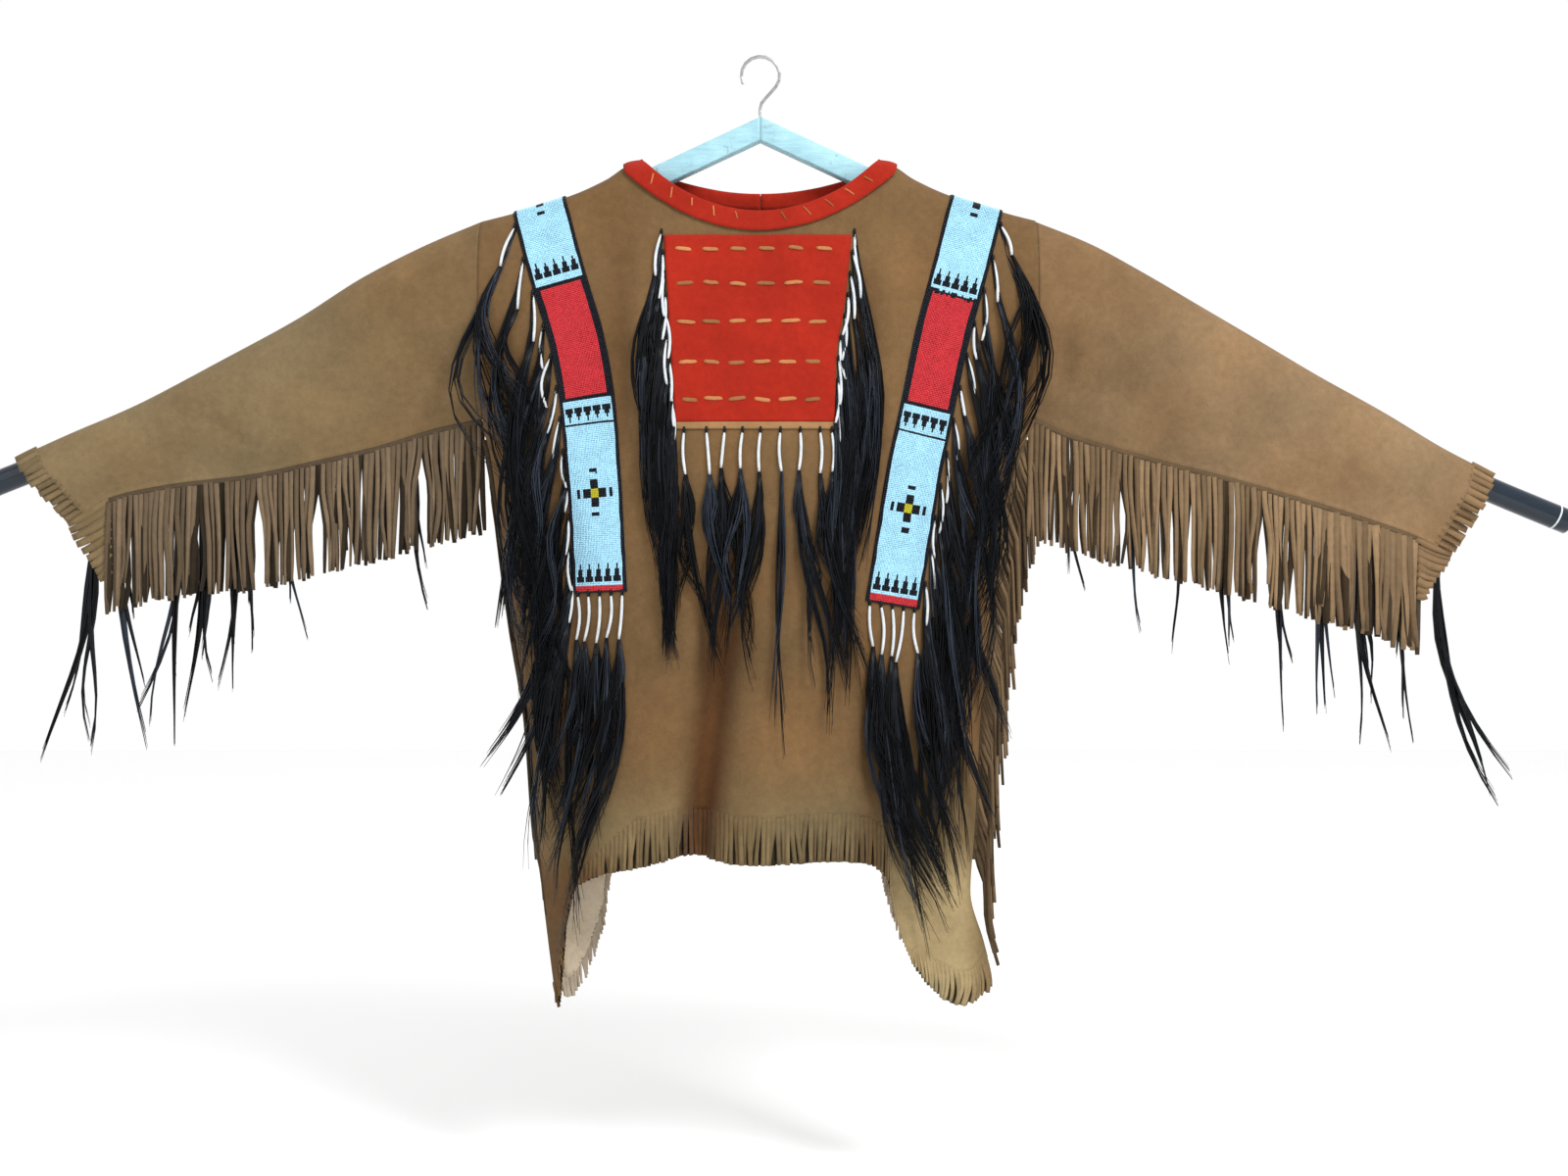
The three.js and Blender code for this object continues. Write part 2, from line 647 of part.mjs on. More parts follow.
// A layer of the given wall lying on a panel, a seam's gap clear of it.
const coatLayers = (thickness) => [HIDE / 2 + SEAM + thickness, HIDE / 2 + SEAM];

const coat = (face, thickness) =>
  shapeSolid(wall(...coatLayers(thickness).map((distance) => panelLayer(face, distance))));

// The same over both panels on one side of the neck, across the shoulder.
function coatOver(side, thickness) {
  const layer = (distance) => {
    const [front, back] = [FRONT, BACK].map((face) => panelLayer(face, distance).map((row) =>
      (side === LEFT ? row.slice(0, SHOULDER_COLUMNS.length) : row.slice(-SHOULDER_COLUMNS.length))));
    const top = front[0].map((p) => new THREE.Vector3(p.x, 0, p.z));
    return [...front.slice(1).reverse(), top, ...back.slice(1)];
  };
  return shapeSolid(wall(...coatLayers(thickness).map(layer), { turned: CURL_STEPS + PANEL_ROWS }));
}

// What lies inside an outline of (x, z) places, all through the shirt.
function within(solid, outline) {
  const shape = new THREE.Shape(outline.map(({ x, z }) => new THREE.Vector2(x, z)));
  const block = new THREE.ExtrudeGeometry(shape, { depth: THROUGH, bevelEnabled: false });
  const cutter = merged(block.rotateX(Math.PI / 2).translate(0, THROUGH / 2, 0));
  const made = new wasm.Mesh({
    numProp: 3,
    vertProperties: cutter.getAttribute("position").array,
    triVerts: new Uint32Array(cutter.index.array),
  });
  return solid.intersect(new wasm.Manifold(made));
}

// The outline of a band of the given width along (x, z) places.
function bandOutline(places, width) {
  const edge = (side) => places.map(({ x, z }, i) => {
    const before = places[Math.max(i - 1, 0)];
    const after = places[Math.min(i + 1, places.length - 1)];
    const length = Math.hypot(after.x - before.x, after.z - before.z);
    const reach = (side * width) / 2 / length;
    return { x: x + (after.z - before.z) * reach, z: z - (after.x - before.x) * reach };
  });
  return [...edge(1), ...edge(-1).reverse()];
}

// ---------------------------------------------------------------- sleeves
function sleeveAt(sleeve) {
  const last = sleeve.sections.length - 1;
  const column = (name) => curve(sleeve.sections, "at", name);
  const [topX, topZ, seamX, seamZ, depth] = ["topX", "topZ", "seamX", "seamZ", "depth"].map(column);
  return (share) => {
    const at = share * last;
    return { topX: topX(at), topZ: topZ(at), seamX: seamX(at), seamZ: seamZ(at), depth: depth(at) };
  };
}

function sleeveWall(name, sleeve) {
  const section = sleeveAt(sleeve);
  const ring = (share, thickness) => {
    const s = section(share);
    const inset = thickness > 0;
    const topZ = s.topZ - thickness;
    const seamZ = s.seamZ + (inset ? SEAM_ALLOWANCE : 0);
    return Array.from({ length: SLEEVE_SIDES }, (_, i) => {
      const turn = (2 * Math.PI * i) / SLEEVE_SIDES - Math.PI;
      const h = (1 - Math.cos(turn)) / 2;
      const z = mix(topZ, seamZ, h);
      const x = mix(s.topX, s.seamX, (s.topZ - z) / (s.topZ - s.seamZ)) + (sleeve.side * SEAM) / 2;
      const soft = foldDepth(sleeve.folds, x, z) * smooth(h * 3) * smooth((1 - h) * 3);
      const half = (s.depth - thickness) * teardrop(h) + soft;
      return new THREE.Vector3(x, -Math.sign(turn) * half, z);
    });
  };
  const shares = Array.from({ length: SLEEVE_SECTIONS }, (_, i) => i / (SLEEVE_SECTIONS - 1));
  const shape = wall(shares.map((t) => ring(t, 0)), shares.map((t) => ring(t, HIDE)), { wrapped: true });
  return shapeMesh(name, shape, COLOURS.hide);
}

// ---------------------------------------------------------------- collar, bib and strips
// One section of the collar, folded over the neck's edge at x. Its legs run square to the neckline,
// turned by `turn` from 0 to 1 until they lie along the shoulder.
function collarSection(face, x, turn) {
  const side = sideOf(x);
  const slope = (neckline(face, x + 1) - neckline(face, x - 1)) / 2;
  const away = new THREE.Vector2(slope, -1).normalize();
  const place = (w) => {
    const px = mix(x + away.x * w, x + side * w, turn);
    const pz = mix(neckline(face, x) + away.y * w, ridge(px), turn);
    return { x: px, z: Math.min(pz, ridge(px)) };
  };
  const at = ([w, distance]) => {
    const on = place(Math.max(w, 0));
    const past = { x: place(w).x - on.x, z: w < 0 ? -away.y * -w : 0 };
    if (turn === 1) return new THREE.Vector3(on.x + past.x, 0, ridge(on.x) + distance);
    const inward = { x: mix(on.x, x, 0.02), z: Math.min(on.z, ridge(on.x)) - 0.05 };
    const y = panelY(face, 0, on.x, on.z) ?? panelY(face, 0, inward.x, inward.z) ?? face.toward * SEAM;
    const point = new THREE.Vector3(on.x, y, on.z);
    point.addScaledVector(bodyNormal(face, on.x, on.z), distance);
    return point.add(new THREE.Vector3(past.x, 0, past.z));
  };
  const toEnd = smooth((Math.abs(x) - COLLAR.narrowX) / COLLAR.narrowOver);
  const clear = mix(COLLAR.clear, COLLAR.clearEnd, toEnd);
  const near = HIDE / 2 + clear;
  const far = near + COLLAR.wall;
  const [fold, rim] = [-clear, -clear - COLLAR.wall];
  const { outside } = COLLAR;
  const inside = mix(COLLAR.inside, COLLAR.insideEnd, toEnd);
  const corners = [
    [outside, near], [outside / 2, near], [fold, near],
    [fold, -near], [inside, -near],
    [inside, -far], [rim, -far],
    [rim, far], [outside / 2, far], [outside, far],
  ];
  return corners.map(at);
}

function collar() {
  const backXs = [COLLAR.backGap / 2, ...BACK.neckColumns.filter((x) => x > 0)];
  const end = NECK_HALF - 1;
  const corner = (face, side) => COLLAR.cornerTurns.map((turn) => collarSection(face, side * end, turn));
  const top = (side) => collarSection(FRONT, side * end, 1);
  const plain = (face) => (x) => collarSection(face, x, 0);
  const stations = [
    ...backXs.map(plain(BACK)),
    ...corner(BACK, RIGHT),
    top(RIGHT),
    ...corner(FRONT, RIGHT).reverse(),
    ...[...FRONT.neckColumns].reverse().map(plain(FRONT)),
    ...corner(FRONT, LEFT),
    top(LEFT),
    ...corner(BACK, LEFT).reverse(),
    ...[...backXs].reverse().map((x) => collarSection(BACK, -x, 0)),
  ];
  const clearOf = (face) =>
    shapeSolid(wall(panelLayer(face, HIDE / 2 + SEAM), panelLayer(face, -HIDE / 2 - SEAM)));
  // Cut clear of the panels, and freed of the slivers that the cut leaves.
  const band = shapeSolid(sweep(stations)).subtract(clearOf(FRONT)).subtract(clearOf(BACK));
  const [whole] = band.decompose().sort((a, b) => b.volume() - a.volume());
  return solidMesh("collar", whole, COLOURS.red);
}

// A solid swept through sections with the same number of corners, its ends closed.
function sweep(sections) {
  const n = sections[0].length;
  const triangles = [];
  for (let i = 0; i < sections.length - 1; i += 1) {
    for (let k = 0; k < n; k += 1) {
      const [a, b] = [i * n + k, i * n + ((k + 1) % n)];
      triangles.push([a, b, b + n], [a, b + n, a + n]);
    }
  }
  const flat = (section) => {
    const normal = new THREE.Vector3();
    section.forEach((p, i) => normal.add(p.clone().cross(section[(i + 1) % n])));
    normal.normalize();
    const wide = section[1].clone().sub(section[0]).normalize();
    const deep = normal.clone().cross(wide);
    return section.map((p) => new THREE.Vector2(p.dot(wide), p.dot(deep)));
  };
  const start = THREE.ShapeUtils.triangulateShape(flat(sections[0]), []);
  const end = THREE.ShapeUtils.triangulateShape(flat(sections[sections.length - 1]), []);
  const last = (sections.length - 1) * n;
  triangles.push(...start.map(([a, b, c]) => [c, b, a]), ...end.map((t) => t.map((k) => k + last)));
  return facingOut(sections.flat(), triangles);
}

const bibEdges = { left: curve(BIB_LEFT, "z", "x"), right: curve(BIB_RIGHT, "z", "x") };

function bibPatch(name, topZ, bottomZ, look) {
  const heights = Array.from({ length: 8 }, (_, i) => mix(topZ, bottomZ, i / 7));
  const outline = [
    ...heights.map((z) => ({ x: bibEdges.left(z), z })),
    ...heights.reverse().map((z) => ({ x: bibEdges.right(z), z })),
  ];
  return solidMesh(name, within(coat(FRONT, BIB.wall), outline), look);
}

// A place on a beaded strip: down from the shoulder, and w across it from its middle line.
function stripPlace(strip, down, w) {
  const middle = curve(strip.path, "down", "x");
  const start = ridge(middle(0));
  const end = strip.path[strip.path.length - 1].down;
  const { step, levelHalf, turnOver, settleOver } = STRIP_TOP;
  const near = clamp(down, step, end);
  const lean = (middle(near) - middle(near - step)) / step;
  const along = new THREE.Vector2(lean, -1).normalize();
  const steady = new THREE.Vector2(-along.y, along.x);
  const slope = (ridge(middle(0) + levelHalf) - ridge(middle(0) - levelHalf)) / (2 * levelHalf);
  const level = new THREE.Vector2(1, slope).normalize();
  const across = level.lerp(steady, smooth(down / turnOver)).normalize();
  const x = middle(down) + lean * Math.max(down - end, 0) + across.x * w;
  const hung = start - down + across.y * w;
  return { x, z: Math.min(mix(ridge(x) - down, hung, smooth(down / settleOver)), ridge(x)) };
}

// The same outline front and back, so the one cut shapes both, and the top lies over the shoulder.
function beadedStrip(name, strip) {
  const end = strip.path[strip.path.length - 1].down;
  const edge = (w) => [
    { ...stripPlace(strip, 0, w), z: SHOULDER[0].z },
    ...Array.from({ length: STRIP.rows }, (_, i) => stripPlace(strip, (end * (i + 1)) / STRIP.rows, w)),
  ];
  const outline = [...edge(-STRIP.width / 2), ...edge(STRIP.width / 2).reverse()];
  return solidMesh(name, within(coatOver(strip.side, STRIP.wall), outline), COLOURS.beads);
}

// ---------------------------------------------------------------- hair locks
// A lock hanging down a panel from (x, z), leaning sideways and standing ever further off.
function hangingLock(face, x, z, { length = LOCK.length, lean = 0, hair = LOCK.hairRadius }) {
  const stops = [
    { s: 0, radius: LOCK.wrapRadius },
    { s: LOCK.wrap * 1.6, radius: hair },
    { s: length, radius: LOCK.tip },
  ];
  let last = 0;
  const points = stops.map(({ s, radius }) => {
    const [px, pz] = [x + lean * s, z - s];
    const root = HIDE / 2 + SEAM + LOCK_BACKING.wall * LOCK_BACKING.rootShare;
    const cloth = s === 0 ? panelY(face, root, x, z) : panelY(face, HIDE / 2, px, pz) ?? last;
    last = face.toward < 0 ? Math.min(cloth, last) : Math.max(cloth, last);
    const off = s === 0 ? 0 : radius + LOCK_BACKING.wall + LOCK.standOff * s;
    const thick = s === 0 ? LOCK_BACKING.wall / 3 : radius;
    return { point: new THREE.Vector3(px, last + face.toward * off, pz), width: radius, thick };
  });
  return strand(points, ROUND_SECTION);
}

// The narrow strip that locks hang from, lying on a panel along the given places.
const lockBacking = (face, places) =>
  within(coat(face, LOCK_BACKING.wall), bandOutline(places, LOCK_BACKING.width));

// Locks all along one edge of a beaded strip, with those across its lower end.
function stripLocks(name, face, strip) {
  const end = strip.path[strip.path.length - 1].down;
  const aside = LOCK_BACKING.gap + LOCK_BACKING.width / 2;
  const outside = strip.side * (STRIP.width / 2 + aside);
  const { first, pitch, endSpread } = STRIP_LOCKS;
  const edge = Array.from({ length: 12 }, (_, i) =>
    stripPlace(strip, mix(first - 4, end + aside + 1, i / 11), outside));
  const count = Math.floor((end - first) / pitch) + 1;
  const side = Array.from({ length: count }, (_, i) => {
    const place = stripPlace(strip, first + i * pitch, outside);
    const length = LOCK.length * (1 + STRIP_LOCKS.varied * scatter(i, strip.side));
    const lean = strip.side * mix(STRIP_LOCKS.leanTop, STRIP_LOCKS.leanEnd, smooth(i / (count - 1)));
    return hangingLock(face, place.x, place.z, { length, lean });
  });
  const below = (w) => stripPlace(strip, end + aside, w);
  const foot = Array.from({ length: 4 }, (_, i) => below(mix(-1, 1, i / 3) * outside));
  const feet = Array.from({ length: STRIP_LOCKS.ends }, (_, i) => {
    const place = below(mix(-endSpread, endSpread, i / (STRIP_LOCKS.ends - 1)) * (STRIP.width / 2));
    const length = LOCK.length * (STRIP_LOCKS.endLonger + STRIP_LOCKS.endVaried * scatter(i, 3));
    return hangingLock(face, place.x, place.z, { length });
  });
  const pieces = [lockBacking(face, edge), lockBacking(face, foot), ...side, ...feet];
  return joined(name, pieces, COLOURS.hair);
}

function bibLocks() {
  const aside = LOCK_BACKING.gap + LOCK_BACKING.width / 2;
  const row = (name, edge, side, count) => {
    const place = (t) => {
      const z = mix(BIB.topZ + BIB_LOCKS.belowTop, BIB.bottomZ + BIB_LOCKS.aboveBottom, t);
      return { x: edge(z) + side * aside, z };
    };
    const backing = lockBacking(FRONT, Array.from({ length: 9 }, (_, i) => place(i / 8)));
    const locks = Array.from({ length: count }, (_, i) => {
      const { x, z } = place((i + BIB_LOCKS.startShare) / count);
      const length = LOCK.length * (BIB_LOCKS.longer + BIB_LOCKS.varied * scatter(i, side));
      return hangingLock(FRONT, x, z, { length, lean: side * BIB_LOCKS.lean, hair: LOCK.wrapRadius });
    });
    return joined(name, [backing, ...locks], COLOURS.hair);
  };
  const footZ = BIB.bottomZ - BIB.edge - aside;
  const foot = (t) => ({ x: mix(bibEdges.left(footZ), bibEdges.right(footZ), t), z: footZ });
  const feet = Array.from({ length: BIB_LOCKS.bottom }, (_, i) => {
    const { x, z } = foot((i + 0.5) / BIB_LOCKS.bottom);
    const length = LOCK.length * (BIB_LOCKS.endLonger + BIB_LOCKS.endVaried * scatter(i, 9));
    return hangingLock(FRONT, x, z, { length });
  });
  const footBacking = lockBacking(FRONT, [0, 0.33, 0.66, 1].map(foot));
  return [
    row("bib_locks_left", bibEdges.left, LEFT, BIB_LOCKS.left),
    row("bib_locks_right", bibEdges.right, RIGHT, BIB_LOCKS.right),
    joined("bib_locks_bottom", [footBacking, ...feet], COLOURS.hair),
  ];
}

// ---------------------------------------------------------------- fringes
// Where the sleeve's sewn seam is at a distance x from the middle.
function seamLine(sleeve) {
  const rows = [...sleeve.sections].sort((a, b) => a.seamX - b.seamX);
  return curve(rows, "seamX", "seamZ");
}

function sleeveFringe(name, sleeve) {
  const seam = seamLine(sleeve);
  const { from, to, drop } = sleeve.fringe;
  const { flap } = sleeve;
  const { topGap, varied, aside, offPlane } = SLEEVE_FRINGE;
  const outerEnd = flap.x + (sleeve.side * flap.width) / 3;
  const ends = [Math.min(from, outerEnd), Math.max(to, outerEnd)];
  const backingStops = Array.from({ length: 9 }, (_, i) => {
    const x = mix(ends[0], ends[1], i / 8);
    const z = seam(x) - topGap - FRINGE.backing / 2;
    return { point: new THREE.Vector3(x, 0, z), width: FRINGE.backing / 2, thick: FRINGE.wall / 2 };
  });
  const strands = Array.from({ length: FRINGE.sleeveCount }, (_, i) => {
    const x = mix(from, to, i / (FRINGE.sleeveCount - 1));
    const rootZ = seam(x) - topGap - FRINGE.backing / 2;
    const length = drop * (1 + varied * scatter(i, sleeve.side));
    const [endX, endY] = [x + aside * scatter(i, 4), offPlane * scatter(i, 6)];
    const stop = (share) => ({
      point: new THREE.Vector3(mix(x, endX, share), endY * share, rootZ - length * share),
      width: FRINGE.width / 2,
      thick: FRINGE.wall / 2,
    });
    return strand([stop(0), stop(1)]);
  });
  const flapZ = seam(flap.x) - topGap - FRINGE.backing / 2 - flap.lower;
  const flapStop = (share, width) => ({
    point: new THREE.Vector3(flap.x - sleeve.side * FLAP.inwards * share, 0, flapZ - flap.length * share),
    width: width / 2,
    thick: FRINGE.wall / 2,
  });
  const end = strand([
    flapStop(0, flap.width * FLAP.rootWidth),
    flapStop(FLAP.fullAt, flap.width),
    flapStop(1, flap.width * FLAP.endWidth),
  ]);
  return joined(name, [strand(backingStops), end, ...strands], COLOURS.hideDark);
}

// Locks of hair hanging behind a sleeve's fringe.
function sleeveLocks(name, sleeve) {
  const seam = seamLine(sleeve);
  const { behind, below, margin, rootRadius, bellyShare } = SLEEVE_LOCKS;
  const xs = sleeve.locks.map((lock) => lock.x);
  const [low, high] = [Math.min(...xs) - margin, Math.max(...xs) + margin];
  const backing = strand(Array.from({ length: 9 }, (_, i) => {
    const x = mix(low, high, i / 8);
    const point = new THREE.Vector3(x, behind, seam(x) - below);
    return { point, width: LOCK_BACKING.width, thick: LOCK_BACKING.wall / 2 };
  }));
  const locks = sleeve.locks.map(({ x, length, sway }) => {
    const at = (share, radius) => ({
      point: new THREE.Vector3(x + sway * share ** 2, behind, seam(x) - below - length * share),
      width: radius,
      thick: radius,
    });
    return strand([at(0, rootRadius), at(bellyShare, LOCK.hairRadius), at(1, LOCK.tip)], ROUND_SECTION);
  });
  return joined(name, [backing, ...locks], COLOURS.hair);
}

// The fringe sewn into a side seam, hanging down along the body's edge.
function sideFringe(name, side) {
  const { topZ, bottomZ, firstBelow, lastAbove, reach, drop, varied, clear, offPlane } = SIDE_FRINGE;
  const rootX = (z) => panelSideX(side, z) + side * (SEAM * 2 + FRINGE.backing / 2);
  const stopAt = (x, y, z) =>
    ({ point: new THREE.Vector3(x, y, z), width: FRINGE.width / 2, thick: FRINGE.wall / 2 });
  const backing = strand(Array.from({ length: 12 }, (_, i) => {
    const z = mix(topZ, bottomZ, i / 11);
    return stopAt(rootX(z), 0, z);
  }));
  const strands = Array.from({ length: FRINGE.sideCount }, (_, i) => {
    const z = mix(topZ - firstBelow, bottomZ + lastAbove, i / (FRINGE.sideCount - 1));
    const length = drop * (1 + varied * scatter(i, side));
    const hung = rootX(z) + side * reach;
    const flared = sideAt(side, z - length) + side * clear;
    const endX = side * Math.max(side * hung, side * flared);
    return strand([stopAt(rootX(z), 0, z), stopAt(endX, offPlane * scatter(i, 7), z - length)]);
  });
  return joined(name, [backing, ...strands], COLOURS.hideDark);
}

// ---------------------------------------------------------------- hanger
function board(name, side) {
  const { apexZ, slope, end, height, depth, round } = BOARD;
  const middle = SEAM / 2;
  const top = (x) => apexZ - slope * x;
  const outline = (inset) => [
    [middle, top(middle) - inset], [end, top(end) - inset],
    [end, top(end) - height + inset], [middle, top(middle) - height + inset],
  ];
  const layer = (y, inset) => outline(inset).map(([x, z]) => new THREE.Vector3(side * x, y, z));
  const half = depth / 2;
  const sections = [layer(-half, round), layer(round - half, 0), layer(half - round, 0), layer(half, round)];
  return shapeMesh(name, sweep(sections), COLOURS.paint);
}

function circle(radius, sides) {
  const turns = Array.from({ length: sides }, (_, i) => (2 * Math.PI * i) / sides);
  return new THREE.Shape(turns.map((t) => new THREE.Vector2(radius * Math.cos(t), radius * Math.sin(t))));
}

function hook() {
  const middleZ = HOOK.wire / 2 - HOOK.radius;
  const arc = Array.from({ length: 9 }, (_, i) => {
    const turn = THREE.MathUtils.degToRad(mix(HOOK.fromDegrees, HOOK.toDegrees, i / 8));
    return new THREE.Vector3(HOOK.radius * Math.cos(turn), 0, middleZ + HOOK.radius * Math.sin(turn));
  });
  const foot = BOARD.apexZ + SEAM;
  const stem = [new THREE.Vector3(0, 0, foot), new THREE.Vector3(0, 0, foot + HOOK.stem)];
  const path = new THREE.CatmullRomCurve3([...stem, ...arc]);
  const options = { steps: HOOK.steps, extrudePath: path, bevelEnabled: false };
  const geometry = new THREE.ExtrudeGeometry(circle(HOOK.wire / 2, HOOK.sides), options);
  return dress("hook", merged(geometry), COLOURS.wire);
}

function rod(name, stops) {
  const path = new THREE.CatmullRomCurve3(stops.map(({ x, z }) => new THREE.Vector3(x, 0, z)));
  const options = { steps: ROD.steps, extrudePath: path, bevelEnabled: false };
  const geometry = new THREE.ExtrudeGeometry(circle(ROD.radius, ROD.sides), options);
  return dress(name, merged(geometry), COLOURS.rod);
}

// ---------------------------------------------------------------- the whole shirt
const shirt = new THREE.Group();
shirt.add(
  bodyPanel("front_panel", FRONT),
  bodyPanel("back_panel", BACK),
  sleeveWall("left_sleeve", SLEEVES.left),
  sleeveWall("right_sleeve", SLEEVES.right),
  collar(),
  bibPatch("bib", BIB.topZ, BIB.bottomZ, COLOURS.red),
  bibPatch("bib_edge", BIB.bottomZ - SEAM, BIB.bottomZ - BIB.edge, COLOURS.hide),
  beadedStrip("left_beaded_strip", STRIPS.left),
  beadedStrip("right_beaded_strip", STRIPS.right),
  ...bibLocks(),
  stripLocks("left_strip_locks_front", FRONT, STRIPS.left),
  stripLocks("right_strip_locks_front", FRONT, STRIPS.right),
  stripLocks("left_strip_locks_back", BACK, STRIPS.left),
  stripLocks("right_strip_locks_back", BACK, STRIPS.right),
  sleeveFringe("left_sleeve_fringe", SLEEVES.left),
  sleeveFringe("right_sleeve_fringe", SLEEVES.right),
  sleeveLocks("left_sleeve_locks", SLEEVES.left),
  sleeveLocks("right_sleeve_locks", SLEEVES.right),
  sideFringe("left_side_fringe", LEFT),
  sideFringe("right_side_fringe", RIGHT),
  board("left_board", LEFT),
  board("right_board", RIGHT),
  hook(),
  rod("left_rod", ROD_PATHS.left),
  rod("right_rod", ROD_PATHS.right),
);

export default shirt;
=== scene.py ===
"""The war shirt on its hanger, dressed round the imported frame. Tables are in millimetres."""
import math
import bpy
import numpy as np
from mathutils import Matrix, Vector


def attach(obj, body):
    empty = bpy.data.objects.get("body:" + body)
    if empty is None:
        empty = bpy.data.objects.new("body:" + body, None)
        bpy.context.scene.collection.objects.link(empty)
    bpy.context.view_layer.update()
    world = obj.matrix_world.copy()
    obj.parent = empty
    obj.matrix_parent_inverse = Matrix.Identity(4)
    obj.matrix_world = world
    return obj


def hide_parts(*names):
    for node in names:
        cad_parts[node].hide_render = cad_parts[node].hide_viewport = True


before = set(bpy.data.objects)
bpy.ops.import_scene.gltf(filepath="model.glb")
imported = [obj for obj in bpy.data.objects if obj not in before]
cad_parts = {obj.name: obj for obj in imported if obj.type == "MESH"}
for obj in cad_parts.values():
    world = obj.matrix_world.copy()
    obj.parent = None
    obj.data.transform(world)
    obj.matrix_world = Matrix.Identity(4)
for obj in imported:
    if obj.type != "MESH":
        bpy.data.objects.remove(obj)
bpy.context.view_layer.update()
MM = 0.001
LEFT, RIGHT = -1, 1

# ---------------------------------------------------------------- the garment's sizes, as in part.mjs
HIDE = 2.0
SEAM = 0.3
SHOULDER = [(0, -112), (146, -122), (175, -139), (212, -156), (282, -178), (317, -187)]
RIDGE_RADIUS = 20.0
NECK_HALF = 138.0
NECK_END = NECK_HALF - 1
ARMHOLE = 315.0
SIDES = [  # z, left, right
    (-1100, -230, 250), (-1057, -236, 266), (-1011, -242, 256), (-951, -249, 240), (-878, -255, 245),
    (-759, -264, 251), (-654, -281, 261), (-552, -295, 272), (-455, -308, 292), (-414, -317, 313),
    (-180, -317, 313),
]
SIDES_TOP = -180.0
ARM_DROP, ARM_DEPTH = 226.0, 38.0
WAIST_Z, HEM_Z, SIDE_ROUND = -700.0, -960.0, 2.5
HEM_SQUARE = {LEFT: 6.0, RIGHT: 3.2}
FRONT = dict(
    toward=-1, depth=54.0, neck_z=-182.0, seed=1,
    hem=[  # u, x, z
        (-1, -231, -1086), (-0.952, -226, -1066), (-0.873, -217, -1018), (-0.778, -211, -972),
        (-0.667, -203, -943), (-0.571, -184, -929), (-0.44, -140, -917), (-0.25, -80, -905),
        (-0.06, -20, -913), (0.3, 85, -910), (0.44, 124, -915), (0.571, 148, -932), (0.667, 158, -962),
        (0.778, 168, -1005), (0.873, 190, -1050), (0.952, 236, -1078), (1, 266, -1057),
    ],
    folds=[  # x, z, end x, end z, width, depth
        (-28, -540, -74, -930, 22, -27), (-92, -600, -128, -930, 34, 9), (30, -560, 4, -930, 38, 9),
        (-160, -165, -152, -520, 15, -7), (-132, -190, -134, -620, 17, 4), (122, -170, 116, -500, 17, -7),
        (152, -180, 140, -560, 18, 4), (130, -640, 122, -960, 20, -9), (-232, -430, -196, -760, 20, -10),
        (232, -430, 210, -800, 20, -9),
    ],
)
BACK = dict(
    toward=1, depth=50.0, neck_z=-153.0, seed=2,
    hem=[
        (-1, -236, -1058), (-0.952, -222, -1076), (-0.873, -196, -1042), (-0.778, -178, -990),
        (-0.667, -172, -946), (-0.571, -160, -918), (-0.44, -130, -900), (0, 0, -890), (0.44, 124, -900),
        (0.571, 143, -924), (0.667, 152, -958), (0.778, 164, -1004), (0.873, 186, -1046),
        (0.952, 228, -1070), (1, 264, -1048),
    ],
    folds=[
        (40, -480, 62, -910, 26, -20), (-60, -560, -84, -910, 24, -15), (-10, -520, -14, -900, 34, 8),
        (-150, -170, -142, -560, 13, -7), (138, -170, 132, -600, 14, -8), (0, -190, 6, -470, 30, -5),
        (-226, -440, -190, -780, 20, -10), (224, -430, 196, -780, 20, -10),
    ],
)
# sections: down the sleeve. flap: its inner x, outer x and drop. fringe: from x to x, and its length.
# locks: x, length, and how far the tip is swept aside.
SLEEVES = {
    LEFT: dict(
        side=LEFT, seed=3,
        sections=[  # top x, top z, seam x, seam z, depth
            (-317, -187, -317, -413, 38), (-377, -212, -366, -423, 36), (-452, -250, -435, -444, 34),
            (-526, -297, -503, -460, 32), (-612, -344, -584, -477, 30), (-715, -398, -669, -487, 27),
            (-785, -428, -740, -502, 25), (-847, -456, -791, -534, 26),
        ],
        folds=[(-448, -300, -500, -430, 20, -7), (-372, -330, -352, -410, 14, -8),
               (-640, -400, -560, -460, 16, -4)],
        flap=(-744, -791, 84), fringe=(-744, -318, 134),
        locks=[(-764, 262, -38), (-738, 238, 30), (-668, 262, -14), (-642, 270, 6), (-602, 196, -8),
               (-592, 188, 10), (-550, 200, 24), (-398, 172, 8)],
    ),
    RIGHT: dict(
        side=RIGHT, seed=4,
        sections=[
            (313, -187, 313, -413, 38), (375, -212, 352, -430, 36), (438, -246, 420, -450, 34),
            (501, -283, 475, -465, 32), (564, -320, 535, -480, 31), (633, -361, 609, -501, 29),
            (710, -404, 690, -526, 27), (778, -445, 744, -545, 25), (834, -474, 792, -569, 26),
        ],
        folds=[(430, -330, 392, -420, 18, -6), (560, -380, 510, -450, 18, -4),
               (350, -300, 336, -400, 14, -6)],
        flap=(750, 790, 68), fringe=(309, 750, 136),
        locks=[(352, 158, 6), (424, 168, 8), (480, 176, 4), (528, 218, 16), (592, 236, 12), (640, 216, 10),
               (684, 262, 22), (730, 196, 12), (776, 262, 64)],
    ),
}
SEAM_ALLOWANCE = 10.0
BIB_TOP, BIB_BOTTOM, BIB_EDGE = -208.0, -420.0, 8.0
BIB_LEFT = [(-420, -94), (-208, -108)]
BIB_RIGHT = [(-420, 83), (-350, 85), (-290, 94), (-208, 103)]
